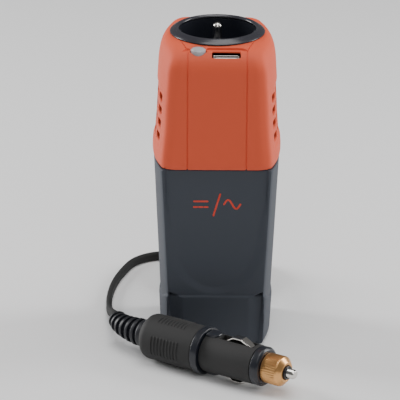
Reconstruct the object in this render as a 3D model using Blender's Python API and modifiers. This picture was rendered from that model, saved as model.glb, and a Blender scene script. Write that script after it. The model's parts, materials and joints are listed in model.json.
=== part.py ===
"""Cup-holder power inverter: a tall two-part housing with a recessed mains socket, a
USB port, a power button and vents, on a short flat lead that ends in a 12 V car plug.

Frame: metres, +Z up, the origin under the middle of the housing on the surface that it
stands on, and the front, with the button and the USB port, towards -Y."""

import math

import bmesh
import bpy
from mathutils import Matrix, Vector

GAP = 0.0003  # between neighbours that touch
WALL = 0.002

# Housing, measured from its centre line
WAIST_HALF_WIDTH = 0.0335
WAIST_HALF_DEPTH = 0.0333
LOWER_HEIGHT = 0.0998
COVER_HEIGHT = 0.0630
LOWER_INSET = 0.0006  # the lower housing stands this far inside the cover
LOWER_TAPER = 0.0034  # how much narrower it gets down to the step
CORNER_CUT = 0.0020
COVER_CORNER = 0.0103
COVER_BOW = 0.0053
LOWER_CORNER = 0.0046
LOWER_BOW = 0.0037
FLAT_STEPS = 4
SIDE_STEPS = 3

# Base of the lower housing
HOUSING_BOTTOM = 0.0004
FLOOR_TOP = 0.0050
BASE_HEIGHT = 0.0275
BASE_PROUD = 0.0008
BASE_EDGE = 0.0028
FLUTE_START = 0.0170
FLUTE_WIDTH = 0.0077
FLUTE_DEPTH = 0.0015
PAD_RADIUS = 0.0200
PAD_THICKNESS = 0.0016

# Cover: (depth under the deck, side inset, front inset, back inset)
COVER_BAND = 0.0075
COVER_STATIONS = (
    (0.0400, 0.0020, 0.0010, 0.0012),
    (0.0190, 0.0026, 0.0016, 0.0018),
    (0.0098, 0.0032, 0.0021, 0.0019),
    (0.0051, 0.0040, 0.0029, 0.0020),
    (0.0020, 0.0050, 0.0044, 0.0021),
    (0.0000, 0.0071, 0.0064, 0.0027),
)
DECK_SLOPE = math.tan(math.radians(13))
SLOPE_START = 0.0098

# Vents
VENT_ROWS = 4
VENT_COLUMNS = 4
VENT_PITCH = 0.0070
VENT_HEIGHT = 0.0040
VENT_LENGTH = 0.0080
VENT_COLUMN_PITCH = 0.0112
VENT_FIRST = 0.0138  # lowest row's centre above the parting plane

# Screws
SCREW_X = 0.0190
SCREW_Y = 0.0175
POST_RADIUS = 0.0045
HEAD_RADIUS = 0.0029
SHANK_RADIUS = 0.0014
SHANK_LENGTH = 0.0110
LUG_HEIGHT = 0.0090

# Socket: a round recess with an earth pin
SOCKET_Y = 0.0055
RECESS_RADIUS = 0.0200
WELL_WALL = 0.0016
WELL_DEPTH = 0.0146
WELL_FLOOR = 0.0024
BEZEL_RADIUS = 0.02475
BEZEL_HEIGHT = 0.0028
BEZEL_CHAMFER = 0.0013
PIN_HALF_SPACING = 0.0095
PIN_HOLE_RADIUS = 0.00275
EARTH_OFFSET = 0.0100
EARTH_RADIUS = 0.0024
EARTH_BELOW_RIM = 0.0009
SHUTTER_SIZE = (0.0270, 0.0070, 0.0024)
SHUTTER_TRAVEL = 0.0065
CARRIER_HEIGHT = 0.0170
CONTACT_WIDTH = 0.0060
CONTACT_OPENING = 0.0062

# Deck controls
BUTTON_X = -0.0099
BUTTON_Y = -0.0232
BUTTON_RADIUS = 0.0039
BUTTON_PROUD = 0.0013
USB_X = 0.0045
USB_Y = -0.0256
USB_SIZE = (0.0138, 0.0052, 0.0140)
USB_WALL = 0.0004
BOARD_THICKNESS = 0.0016
CONTROL_BOARD_DROP = 0.0180  # under the deck

# Fan
FAN_SIZE = 0.0400
FAN_DEPTH = 0.0100
FAN_BORE = 0.0188
FAN_HUB = 0.0085
FAN_BLADES = 7
BLADE_PITCH = math.radians(38)

# Power stage on the upright board
MAIN_BOARD_Y = 0.0100
MAIN_BOARD_WIDTH = 0.0460
CORE_SIZE = (0.0280, 0.0140, 0.0250)
HEAT_SINK_SIZE = (0.0030, 0.0160, 0.0300)

# Lead
CORD_DIAMETER = 0.0050
GLAND_X = 0.0170
GLAND_Z = 0.0220
GLAND_NECK = 0.0037
GLAND_LENGTH = 0.0205
COIL_Y = 0.0660
COIL_INNER = 0.0186
COIL_OUTER = 0.0299
COIL_HEIGHT = 0.0104

# 12 V plug, along its own axis from the back of the handle
PLUG_ORIGIN = (-0.0358, -0.0427, 0.0126)
PLUG_TURN = math.radians(-34.3)
HANDLE_LENGTH = 0.0349
HANDLE_RADIUS = 0.0120
COLLAR_LENGTH = 0.0040
COLLAR_RADIUS = 0.0124
BARREL_LENGTH = 0.0308
BARREL_RADIUS = 0.0104
FUSE_RADIUS = 0.00315
FUSE_LENGTH = 0.0300
FUSE_BORE = 0.0037
NOSE_LENGTH = 0.0047
NOSE_RADIUS = 0.0103
SPIGOT_RADIUS = 0.0060
SPIGOT_LENGTH = 0.0063
NUT_LENGTH = 0.0115
NUT_RADIUS = 0.0079
INSULATOR_RADIUS = 0.0036
TIP_RADIUS = 0.0025
TIP_PROUD = 0.0054
LEAF_WIDTH = 0.0050
LEAF_THICKNESS = 0.0008
LEAF_START = 0.0085  # along the barrel

DECK_Z = LOWER_HEIGHT + COVER_HEIGHT
RIM_Z = DECK_Z + BEZEL_HEIGHT
LOWER_HALF_WIDTH = WAIST_HALF_WIDTH - LOWER_INSET
LOWER_HALF_DEPTH = WAIST_HALF_DEPTH - LOWER_INSET
WELL_RADIUS = RECESS_RADIUS + WELL_WALL
RING_FRONT = SOCKET_Y - BEZEL_RADIUS
WELL_FLOOR_TOP = RIM_Z - WELL_DEPTH
SHUTTER_TOP = WELL_FLOOR_TOP - WELL_FLOOR - GAP
CARRIER_TOP = SHUTTER_TOP - SHUTTER_SIZE[2] - GAP
CONTROL_BOARD_TOP = DECK_Z - CONTROL_BOARD_DROP

parts = bpy.data.collections.new("power_inverter")
helpers = bpy.data.collections.new("helpers")
materials = {}


def clear_scene():
    """Removes whatever the file starts with."""
    for obj in list(bpy.data.objects):
        bpy.data.objects.remove(obj, do_unlink=True)
    for collection in (parts, helpers):
        bpy.context.scene.collection.children.link(collection)


def material(name, colour, roughness, metallic=0.0):
    """A plain finish, made once and shared by name."""
    if name not in materials:
        made = bpy.data.materials.new(name)
        made.use_nodes = True
        shader = made.node_tree.nodes["Principled BSDF"]
        shader.inputs["Base Color"].default_value = (*colour, 1.0)
        shader.inputs["Roughness"].default_value = roughness
        shader.inputs["Metallic"].default_value = metallic
        materials[name] = made
    return materials[name]


def orange_plastic():
    return material("orange_plastic", (0.78, 0.09, 0.03), 0.45)


def dark_plastic():
    return material("dark_plastic", (0.035, 0.04, 0.055), 0.4)


def black_plastic():
    return material("black_plastic", (0.02, 0.02, 0.022), 0.35)


def black_rubber():
    return material("black_rubber", (0.015, 0.015, 0.015), 0.7)


def board_green():
    return material("board_green", (0.02, 0.12, 0.05), 0.5)


def bright_steel():
    return material("bright_steel", (0.7, 0.7, 0.72), 0.25, 1.0)


def brass():
    return material("brass", (0.75, 0.42, 0.14), 0.3, 1.0)


def place(name, mesh, finish, collection=None, smooth=None):
    """Puts a mesh in the scene as one object."""
    obj = bpy.data.objects.new(name, mesh)
    (collection or parts).objects.link(obj)
    if finish is not None:
        mesh.materials.append(finish)
    if smooth is not None:
        mesh.shade_smooth()
        mesh.set_sharp_from_angle(angle=math.radians(smooth))
    return obj


def helper(name, mesh):
    """A cutter or a joining shape: never drawn."""
    obj = place(name, mesh, None, helpers)
    obj.hide_render = True
    obj.display_type = "WIRE"
    return obj


def mesh_from(name, build):
    """A mesh filled in by a function that takes a bmesh."""
    shape = bmesh.new()
    build(shape)
    bmesh.ops.recalc_face_normals(shape, faces=shape.faces)
    mesh = bpy.data.meshes.new(name)
    shape.to_mesh(mesh)
    shape.free()
    return mesh


def add_box(shape, low, high):
    size = Vector(high) - Vector(low)
    middle = (Vector(high) + Vector(low)) / 2
    bmesh.ops.create_cube(shape, size=1.0, matrix=Matrix.Translation(middle) @ Matrix.Diagonal((*size, 1.0)))


def add_cylinder(shape, radius, start, end, sides=12):
    """A cylinder between two points."""
    start, end = Vector(start), Vector(end)
    turn = (end - start).to_track_quat("Z", "Y").to_matrix().to_4x4()
    bmesh.ops.create_cone(
        shape,
        cap_ends=True,
        segments=sides,
        radius1=radius,
        radius2=radius,
        depth=(end - start).length,
        matrix=Matrix.Translation((start + end) / 2) @ turn,
    )


def box(name, low, high, finish):
    return place(name, mesh_from(name, lambda shape: add_box(shape, low, high)), finish)


def cylinder(name, radius, start, end, finish, sides=16):
    mesh = mesh_from(name, lambda shape: add_cylinder(shape, radius, start, end, sides))
    return place(name, mesh, finish, smooth=40)


def turned(name, profile, finish, steps=24):
    """A closed (radius, height) profile turned about Z: it runs down its outer side."""
    mesh = bpy.data.meshes.new(name)
    points = [(radius, 0.0, height) for radius, height in profile]
    on_axis = profile[0][0] == 0.0 and profile[-1][0] == 0.0
    edges = [(i, i + 1) for i in range(len(points) - 1)]
    if not on_axis:
        edges.append((len(points) - 1, 0))
    mesh.from_pydata(points, edges, [])
    obj = place(name, mesh, finish)
    screw = obj.modifiers.new("Turn", "SCREW")
    screw.steps = steps
    screw.render_steps = steps
    screw.use_merge_vertices = True
    screw.merge_threshold = 0.00001
    screw.use_smooth_shade = False
    return obj


def cut(obj, cutter, operation="DIFFERENCE"):
    modifier = obj.modifiers.new(cutter.name, "BOOLEAN")
    modifier.operation = operation
    modifier.object = cutter
    modifier.use_self = True
    return obj


def loft(name, rings, finish, loop=False):
    """Skins rings of equally many points. A loop joins the last ring to the first."""

    def build(shape):
        levels = [[shape.verts.new(point) for point in ring] for ring in rings]
        count = len(levels[0])
        pairs = list(zip(levels, levels[1:]))
        if loop:
            pairs.append((levels[-1], levels[0]))
        else:
            shape.faces.new(levels[0])
            shape.faces.new(levels[-1])
        for below, above in pairs:
            for i in range(count):
                j = (i + 1) % count
                shape.faces.new((below[i], below[j], above[j], above[i]))

    return place(name, mesh_from(name, build), finish)


def ribbon(name, path, width, thickness, finish, across=(0.0, 1.0, 0.0)):
    """A bent strip: an open surface along a path, given its thickness."""
    side = Vector(across) * width / 2

    def build(shape):
        left = [shape.verts.new(Vector(point) - side) for point in path]
        right = [shape.verts.new(Vector(point) + side) for point in path]
        for i in range(len(path) - 1):
            shape.faces.new((left[i], right[i], right[i + 1], left[i + 1]))

    obj = place(name, mesh_from(name, build), finish)
    solidify = obj.modifiers.new("Thickness", "SOLIDIFY")
    solidify.thickness = thickness
    solidify.offset = 0.0
    return obj


def smooth_path(route, step):
    """Points at an even spacing on a Catmull-Rom curve through the route."""
    knots = [Vector(point) for point in route]
    knots = [2 * knots[0] - knots[1]] + knots + [2 * knots[-1] - knots[-2]]
    fine = []
    for a, b, c, d in zip(knots, knots[1:], knots[2:], knots[3:]):
        for i in range(20):
            t = i / 20
            square = 2 * a - 5 * b + 4 * c - d
            cube = 3 * b - a - 3 * c + d
            fine.append(0.5 * (2 * b + (c - a) * t + square * t**2 + cube * t**3))
    fine.append(knots[-2])
    total = sum((q - p).length for p, q in zip(fine, fine[1:]))
    count = max(2, round(total / step))
    spaced, walked = [fine[0]], 0.0
    for p, q in zip(fine, fine[1:]):
        walked += (q - p).length
        if walked >= total * len(spaced) / count and len(spaced) < count:
            spaced.append(q)
    return spaced + [fine[-1]]


def tube(name, points, radius, finish, radii=None, resolution=2):
    """A round tube along points, with filled ends."""
    curve = bpy.data.curves.new(name, "CURVE")
    curve.dimensions = "3D"
    curve.bevel_depth = radius
    curve.bevel_resolution = resolution
    curve.use_fill_caps = True
    spline = curve.splines.new("POLY")
    spline.points.add(len(points) - 1)
    for i, point in enumerate(points):
        spline.points[i].co = (*point, 1.0)
        spline.points[i].radius = radii[i] if radii else 1.0
    curve.materials.append(finish)
    obj = bpy.data.objects.new(name, curve)
    parts.objects.link(obj)
    return obj


def helix(start, end, radius, turns, per_turn=8):
    """Points of a compression spring, closed flat at both ends."""
    start, end = Vector(start), Vector(end)
    turn = (end - start).to_track_quat("Z", "Y")
    count = turns * per_turn
    return [
        start
        + turn
        @ Vector(
            (
                radius * math.cos(math.tau * i / per_turn),
                radius * math.sin(math.tau * i / per_turn),
                (end - start).length * i / count,
            )
        )
        for i in range(count + 1)
    ]


def flat_edge(flat, depth, flute):
    """The front edge from left to right: even steps, or a panel with a flute at each end."""
    if flute is None:
        half = [(flat * i / FLAT_STEPS, -depth) for i in range(FLAT_STEPS + 1)]
    else:
        end = FLUTE_START + FLUTE_WIDTH
        half = [(0.0, -depth), (FLUTE_START, -depth), (FLUTE_START + FLUTE_WIDTH / 2, -depth + flute)]
        half += [(end, -depth), (max(flat, end + GAP), -depth)]
    return [(-x, y) for x, y in half[:0:-1]] + half


def side_arc(half_width, depth, bow):
    """The bowed side from its corner to the middle, as a quarter that bows out by this much."""
    reach = depth - CORNER_CUT
    radius = (reach**2 + bow**2) / (2 * bow)
    swing = math.asin(reach / radius)
    angles = [swing * (1 - i / SIDE_STEPS) for i in range(SIDE_STEPS + 1)]
    return [(half_width - radius + radius * math.cos(angle), radius * math.sin(angle)) for angle in angles]


def outline(half_width, front, back, corner, bow, flute=None):
    """Plan of the housing: flat front and back, cut corners and bowed sides."""
    flat = half_width - corner
    side = [(x, -y) for x, y in side_arc(half_width, front, bow)]
    side += side_arc(half_width, back, bow)[-2::-1]
    front_edge = flat_edge(flat, front, flute)
    back_edge = [(x, -y) for x, y in flat_edge(flat, back, flute)]
    return front_edge + side + back_edge[::-1] + [(-x, y) for x, y in side[::-1]]


def ring_at(points, z, slope=0.0):
    """Lifts a plan to a height. With a slope, the part in front of the socket drops forwards."""
    lifted = []
    for x, y in points:
        drop = slope * max(0.0, RING_FRONT - y)
        lifted.append((x, y, z - drop))
    return lifted


def lower_rings(inset, bottom, top):
    """Rings of the lower housing from its bottom to the parting plane, this far inside its outer skin."""

    def section(z, extra, flute=0.0):
        share = 1 - (z - BASE_HEIGHT) / (LOWER_HEIGHT - BASE_HEIGHT)
        shrink = LOWER_TAPER * share + inset + extra
        width = LOWER_HALF_WIDTH - shrink
        depth = LOWER_HALF_DEPTH - shrink
        return ring_at(outline(width, depth, depth, LOWER_CORNER, LOWER_BOW, flute), z)

    if inset:
        return [section(bottom, 0.0), section(top, 0.0)]
    return [
        section(bottom, BASE_EDGE * 0.7 - BASE_PROUD, FLUTE_DEPTH),
        section(bottom + BASE_EDGE * 0.3, BASE_EDGE * 0.2 - BASE_PROUD, FLUTE_DEPTH),
        section(bottom + BASE_EDGE, -BASE_PROUD, FLUTE_DEPTH),
        section(BASE_HEIGHT - 0.0015, -BASE_PROUD, FLUTE_DEPTH),
        section(BASE_HEIGHT, -BASE_PROUD * 0.5),
        section(BASE_HEIGHT + 0.0010, 0.0),
        section(top, 0.0),
    ]


def screw_places():
    return [(sx * SCREW_X, sy * SCREW_Y) for sy in (-1, 1) for sx in (-1, 1)]


def make_lower_housing():
    outer = lower_rings(0.0, HOUSING_BOTTOM, LOWER_HEIGHT)
    inner = lower_rings(WALL, FLOOR_TOP, LOWER_HEIGHT)
    housing = loft("lower_housing", outer + inner[::-1], dark_plastic())
    post_top = LOWER_HEIGHT - GAP

    def posts(shape):
        for x, y in screw_places():
            add_cylinder(shape, POST_RADIUS, (x, y, FLOOR_TOP - WALL / 2), (x, y, post_top))

    def openings(shape):
        bore = HEAD_RADIUS + GAP * 2
        for x, y in screw_places():
            add_cylinder(shape, bore, (x, y, -WALL), (x, y, post_top - WALL))
            add_cylinder(shape, SHANK_RADIUS + GAP, (x, y, post_top - WALL * 1.5), (x, y, post_top + WALL), 8)
        add_cylinder(shape, PAD_RADIUS + GAP, (0, 0, -WALL), (0, 0, PAD_THICKNESS + GAP), 32)
        add_cylinder(
            shape,
            GLAND_NECK + GAP,
            (GLAND_X, LOWER_HALF_DEPTH / 2, GLAND_Z),
            (GLAND_X, LOWER_HALF_DEPTH * 2, GLAND_Z),
            16,
        )

    cut(housing, helper("screw_posts", mesh_from("screw_posts", posts)), "UNION")
    cut(housing, helper("lower_openings", mesh_from("lower_openings", openings)))


def cover_section(inset_side, inset_front, inset_back, z, shrink, slope):
    width = WAIST_HALF_WIDTH - inset_side - shrink
    front = WAIST_HALF_DEPTH - inset_front - shrink
    back = WAIST_HALF_DEPTH - inset_back - shrink
    return ring_at(outline(width, front, back, COVER_CORNER, COVER_BOW), z, slope)


def cover_rings(shrink, bottom, deck):
    """Rings of the cover from the parting plane to the hole for the socket."""
    rings = [
        cover_section(0.0, 0.0, 0.0, bottom, shrink, 0.0),
        cover_section(0.0, 0.0, 0.0, LOWER_HEIGHT + COVER_BAND, shrink, 0.0),
    ]
    for below, side, front, back in COVER_STATIONS:
        slope = DECK_SLOPE * min(1.0, max(0.0, 1 - below / SLOPE_START))
        rings.append(cover_section(side, front, back, deck - below, shrink, slope))
    hole = WELL_RADIUS + 0.0012
    last = rings[-1]
    circle = []
    for x, y, _ in last:
        angle = math.atan2(y - SOCKET_Y, x)
        circle.append((hole * math.cos(angle), SOCKET_Y + hole * math.sin(angle), deck))
    return rings + [circle]


def make_top_cover():
    bottom = LOWER_HEIGHT + GAP
    outer = cover_rings(0.0, bottom, DECK_Z)
    inner = cover_rings(WALL, bottom, DECK_Z - WALL)
    cover = loft("top_cover", outer + inner[::-1], orange_plastic(), loop=True)

    def lugs(shape):
        for x, y in screw_places():
            side = math.copysign(1, x)
            reach = side * (WAIST_HALF_WIDTH - 0.0040)
            near = side * (SCREW_X - POST_RADIUS)
            add_box(
                shape,
                (min(near, reach), y - POST_RADIUS, bottom + GAP),
                (max(near, reach), y + POST_RADIUS, bottom + LUG_HEIGHT),
            )

    def openings(shape):
        for x, y in screw_places():
            end = (x, y, bottom + LUG_HEIGHT + WALL)
            add_cylinder(shape, SHANK_RADIUS + GAP, (x, y, bottom - WALL), end, 8)
        add_cylinder(
            shape,
            BUTTON_RADIUS + GAP,
            (BUTTON_X, BUTTON_Y, DECK_Z - 0.008),
            (BUTTON_X, BUTTON_Y, DECK_Z + 0.003),
            24,
        )
        half = [USB_SIZE[0] / 2 + GAP, USB_SIZE[1] / 2 + GAP]
        add_box(
            shape,
            (USB_X - half[0], USB_Y - half[1], DECK_Z - 0.008),
            (USB_X + half[0], USB_Y + half[1], DECK_Z + 0.003),
        )
        for row in range(VENT_ROWS):
            z = LOWER_HEIGHT + VENT_FIRST + row * VENT_PITCH
            for column in range(VENT_COLUMNS):
                y = (column - (VENT_COLUMNS - 1) / 2) * VENT_COLUMN_PITCH
                for side in (-1, 1):
                    reach = sorted((side * (SCREW_X + POST_RADIUS), side * (WAIST_HALF_WIDTH + WALL)))
                    add_box(
                        shape,
                        (reach[0], y - VENT_LENGTH / 2, z - VENT_HEIGHT / 2),
                        (reach[1], y + VENT_LENGTH / 2, z + VENT_HEIGHT / 2),
                    )

    cut(cover, helper("cover_lugs", mesh_from("cover_lugs", lugs)), "UNION")
    cut(cover, helper("cover_openings", mesh_from("cover_openings", openings)))


def make_base_pad():
    profile = [(0.0, PAD_THICKNESS), (PAD_RADIUS, PAD_THICKNESS), (PAD_RADIUS, 0.0), (0.0, 0.0)]
    turned("base_pad", profile, black_rubber(), 32)


def make_screws():
    seat = LOWER_HEIGHT - GAP - WALL - GAP
    profile = [
        (0.0, seat + SHANK_LENGTH),
        (SHANK_RADIUS, seat + SHANK_LENGTH),
        (SHANK_RADIUS, seat),
        (HEAD_RADIUS, seat),
        (HEAD_RADIUS, seat - 0.0020),
        (0.0, seat - 0.0020),
    ]
    for i, (x, y) in enumerate(screw_places()):
        screw = turned(f"housing_screw_{i + 1}", profile, bright_steel(), 8)
        screw.location = (x, y, 0.0)


def make_socket():
    well_top = DECK_Z + BEZEL_HEIGHT * 0.35
    bezel = turned(
        "socket_bezel",
        [
            (RECESS_RADIUS + 0.0008, RIM_Z),
            (BEZEL_RADIUS - BEZEL_CHAMFER, RIM_Z),
            (BEZEL_RADIUS, RIM_Z - BEZEL_CHAMFER),
            (BEZEL_RADIUS, DECK_Z + GAP),
            (WELL_RADIUS + GAP, DECK_Z + GAP),
            (WELL_RADIUS + GAP, well_top + GAP),
            (RECESS_RADIUS, well_top + GAP),
            (RECESS_RADIUS, RIM_Z - 0.0006),
        ],
        black_plastic(),
        40,
    )
    bezel.location = (0.0, SOCKET_Y, 0.0)
    well = turned(
        "socket_well",
        [
            (RECESS_RADIUS, well_top),
            (WELL_RADIUS, well_top),
            (WELL_RADIUS, WELL_FLOOR_TOP - WELL_FLOOR),
            (0.0, WELL_FLOOR_TOP - WELL_FLOOR),
            (0.0, WELL_FLOOR_TOP),
            (RECESS_RADIUS, WELL_FLOOR_TOP),
        ],
        black_plastic(),
        32,
    )
    well.location = (0.0, SOCKET_Y, 0.0)

    def holes(shape):
        low, high = WELL_FLOOR_TOP - WELL_FLOOR - WALL, WELL_FLOOR_TOP + WALL
        for x in (-PIN_HALF_SPACING, PIN_HALF_SPACING):
            add_cylinder(shape, PIN_HOLE_RADIUS, (x, SOCKET_Y, low), (x, SOCKET_Y, high), 16)
        y = SOCKET_Y + EARTH_OFFSET
        add_cylinder(shape, EARTH_RADIUS + GAP, (0.0, y, low), (0.0, y, high), 16)

    cut(well, helper("well_holes", mesh_from("well_holes", holes)))
    pin_top = RIM_Z - EARTH_BELOW_RIM
    pin = turned(
        "earth_pin",
        [
            (0.0, pin_top),
            (EARTH_RADIUS * 0.6, pin_top - EARTH_RADIUS * 0.2),
            (EARTH_RADIUS, pin_top - EARTH_RADIUS),
            (EARTH_RADIUS, CARRIER_TOP - CARRIER_HEIGHT / 2),
            (0.0, CARRIER_TOP - CARRIER_HEIGHT / 2),
        ],
        bright_steel(),
        16,
    )
    pin.location = (0.0, SOCKET_Y + EARTH_OFFSET, 0.0)


def make_contacts():
    """The carrier under the well, its two clips, and the shutter with its spring."""
    bottom = CARRIER_TOP - CARRIER_HEIGHT
    carrier = turned(
        "contact_carrier",
        [
            (0.0, CARRIER_TOP),
            (RECESS_RADIUS, CARRIER_TOP),
            (RECESS_RADIUS, bottom),
            (0.0, bottom),
        ],
        material("carrier_white", (0.75, 0.75, 0.72), 0.5),
        24,
    )
    carrier.location = (0.0, SOCKET_Y, 0.0)
    half = CONTACT_OPENING / 2 + 0.0016

    def pockets(shape):
        for x in (-PIN_HALF_SPACING, PIN_HALF_SPACING):
            add_box(
                shape,
                (x - half, SOCKET_Y - CONTACT_WIDTH / 2 - GAP, bottom - WALL),
                (x + half, SOCKET_Y + CONTACT_WIDTH / 2 + GAP, CARRIER_TOP + WALL),
            )
        y = SOCKET_Y + EARTH_OFFSET
        radius = EARTH_RADIUS + GAP
        start = (0.0, y, CARRIER_TOP - CARRIER_HEIGHT * 0.6)
        add_cylinder(shape, radius, start, (0.0, y, CARRIER_TOP + WALL), 16)

    cut(carrier, helper("carrier_pockets", mesh_from("carrier_pockets", pockets)))
    reach = CONTACT_OPENING / 2
    for name, x in (("line_contact", -PIN_HALF_SPACING), ("neutral_contact", PIN_HALF_SPACING)):
        top, low = CARRIER_TOP - 0.0010, bottom + 0.0010
        path = [
            (x - reach, SOCKET_Y, top),
            (x - reach * 0.7, SOCKET_Y, (top + low) / 2),
            (x - reach, SOCKET_Y, low),
            (x + reach, SOCKET_Y, low),
            (x + reach * 0.7, SOCKET_Y, (top + low) / 2),
            (x + reach, SOCKET_Y, top),
        ]
        ribbon(name, path, CONTACT_WIDTH, 0.0006, brass())
    sx, sy, sz = SHUTTER_SIZE
    box(
        "shutter",
        (-sx / 2, SOCKET_Y - sy / 2, SHUTTER_TOP - sz),
        (sx / 2, SOCKET_Y + sy / 2, SHUTTER_TOP),
        material("shutter_white", (0.8, 0.8, 0.78), 0.5),
    )
    spring_radius = sz / 2 - 0.00035
    middle = SHUTTER_TOP - sz / 2
    front = SOCKET_Y - sy / 2 - GAP - 0.0003
    points = helix((0.0, front - SHUTTER_TRAVEL * 1.7, middle), (0.0, front, middle), spring_radius, 6)
    tube("shutter_spring", points, 0.00025, bright_steel())


def make_controls():
    deck = DECK_Z - DECK_SLOPE * (RING_FRONT - BUTTON_Y)
    top = deck + BUTTON_PROUD
    foot = CONTROL_BOARD_TOP + 0.0052
    button = turned(
        "power_button",
        [
            (0.0, top),
            (BUTTON_RADIUS * 0.6, top - 0.0004),
            (BUTTON_RADIUS, top - 0.0014),
            (BUTTON_RADIUS, deck - WALL - 0.0010),
            (0.0015, deck - WALL - 0.0020),
            (0.0015, foot),
            (0.0, foot),
        ],
        material("button_grey", (0.45, 0.45, 0.46), 0.3),
        24,
    )
    button.location = (BUTTON_X, BUTTON_Y, 0.0)
    board_y = (USB_Y - USB_SIZE[1] / 2, RING_FRONT + 0.0028)
    box(
        "control_board",
        (-0.0200, board_y[0], CONTROL_BOARD_TOP - BOARD_THICKNESS),
        (0.0200, board_y[1], CONTROL_BOARD_TOP),
        board_green(),
    )

    def switch_body(shape):
        z = CONTROL_BOARD_TOP + GAP
        add_box(shape, (-0.0030, -0.0030, z), (0.0030, 0.0030, z + 0.0032))

    tact = place("tact_switch", mesh_from("tact_switch", switch_body), black_plastic())
    tact.location = (BUTTON_X, BUTTON_Y, 0.0)
    led_x = BUTTON_X - 0.0060
    cylinder(
        "status_led",
        0.0015,
        (led_x, BUTTON_Y, CONTROL_BOARD_TOP + GAP),
        (led_x, BUTTON_Y, CONTROL_BOARD_TOP + 0.0050),
        material("led_clear", (0.8, 0.85, 0.8), 0.1),
        12,
    )
    sx, sy, sz = USB_SIZE
    low = CONTROL_BOARD_TOP + GAP
    top = low + sz
    shell = box(
        "usb_shell",
        (USB_X - sx / 2, USB_Y - sy / 2, low),
        (USB_X + sx / 2, USB_Y + sy / 2, top),
        bright_steel(),
    )
    inner = (sx / 2 - USB_WALL, sy / 2 - USB_WALL)

    def hollow(shape):
        add_box(
            shape,
            (USB_X - inner[0], USB_Y - inner[1], low + 0.0010),
            (USB_X + inner[0], USB_Y + inner[1], top + WALL),
        )

    cut(shell, helper("usb_hollow", mesh_from("usb_hollow", hollow)))
    box(
        "usb_tongue",
        (USB_X - 0.0055, USB_Y + 0.0001, low + 0.0010 + GAP),
        (USB_X + 0.0055, USB_Y + 0.0018, top - 0.0010),
        material("tongue_white", (0.85, 0.85, 0.85), 0.4),
    )


def make_fan():
    low = LOWER_HEIGHT + GAP + LUG_HEIGHT + GAP
    half = FAN_SIZE / 2
    frame = box("fan_frame", (-half, -half, low), (half, half, low + FAN_DEPTH), black_plastic())
    rotor_low = low + 0.0022

    def bore(shape):
        add_cylinder(shape, FAN_BORE + GAP, (0, 0, rotor_low - GAP), (0, 0, low + FAN_DEPTH + WALL), 32)
        for i in range(4):
            turn = Matrix.Rotation(math.tau * i / 4, 4, "Z")
            start = len(shape.verts)
            add_cylinder(shape, 0.0045, (0.0135, 0, low - WALL), (0.0135, 0, rotor_low + WALL), 12)
            shape.verts.ensure_lookup_table()
            bmesh.ops.transform(shape, matrix=turn, verts=shape.verts[start:])

    cut(frame, helper("fan_bore", mesh_from("fan_bore", bore)))

    def hub(shape):
        add_cylinder(shape, FAN_HUB, (0, 0, rotor_low), (0, 0, low + FAN_DEPTH - 0.0006), 24)

    def blades(shape):
        for i in range(FAN_BLADES):
            pitched = Matrix.Rotation(BLADE_PITCH, 4, "X")
            turn = Matrix.Rotation(math.tau * i / FAN_BLADES, 4, "Z") @ pitched
            start = len(shape.verts)
            add_box(shape, (FAN_HUB * 0.8, -0.0042, -0.0006), (FAN_BORE - 0.0012, 0.0042, 0.0006))
            shape.verts.ensure_lookup_table()
            bmesh.ops.transform(shape, matrix=turn, verts=shape.verts[start:])
        middle = (rotor_low + low + FAN_DEPTH) / 2
        bmesh.ops.translate(shape, vec=(0, 0, middle), verts=shape.verts)

    rotor = place("fan_rotor", mesh_from("fan_rotor", hub), black_plastic())
    cut(rotor, helper("fan_blades", mesh_from("fan_blades", blades)), "UNION")


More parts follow.
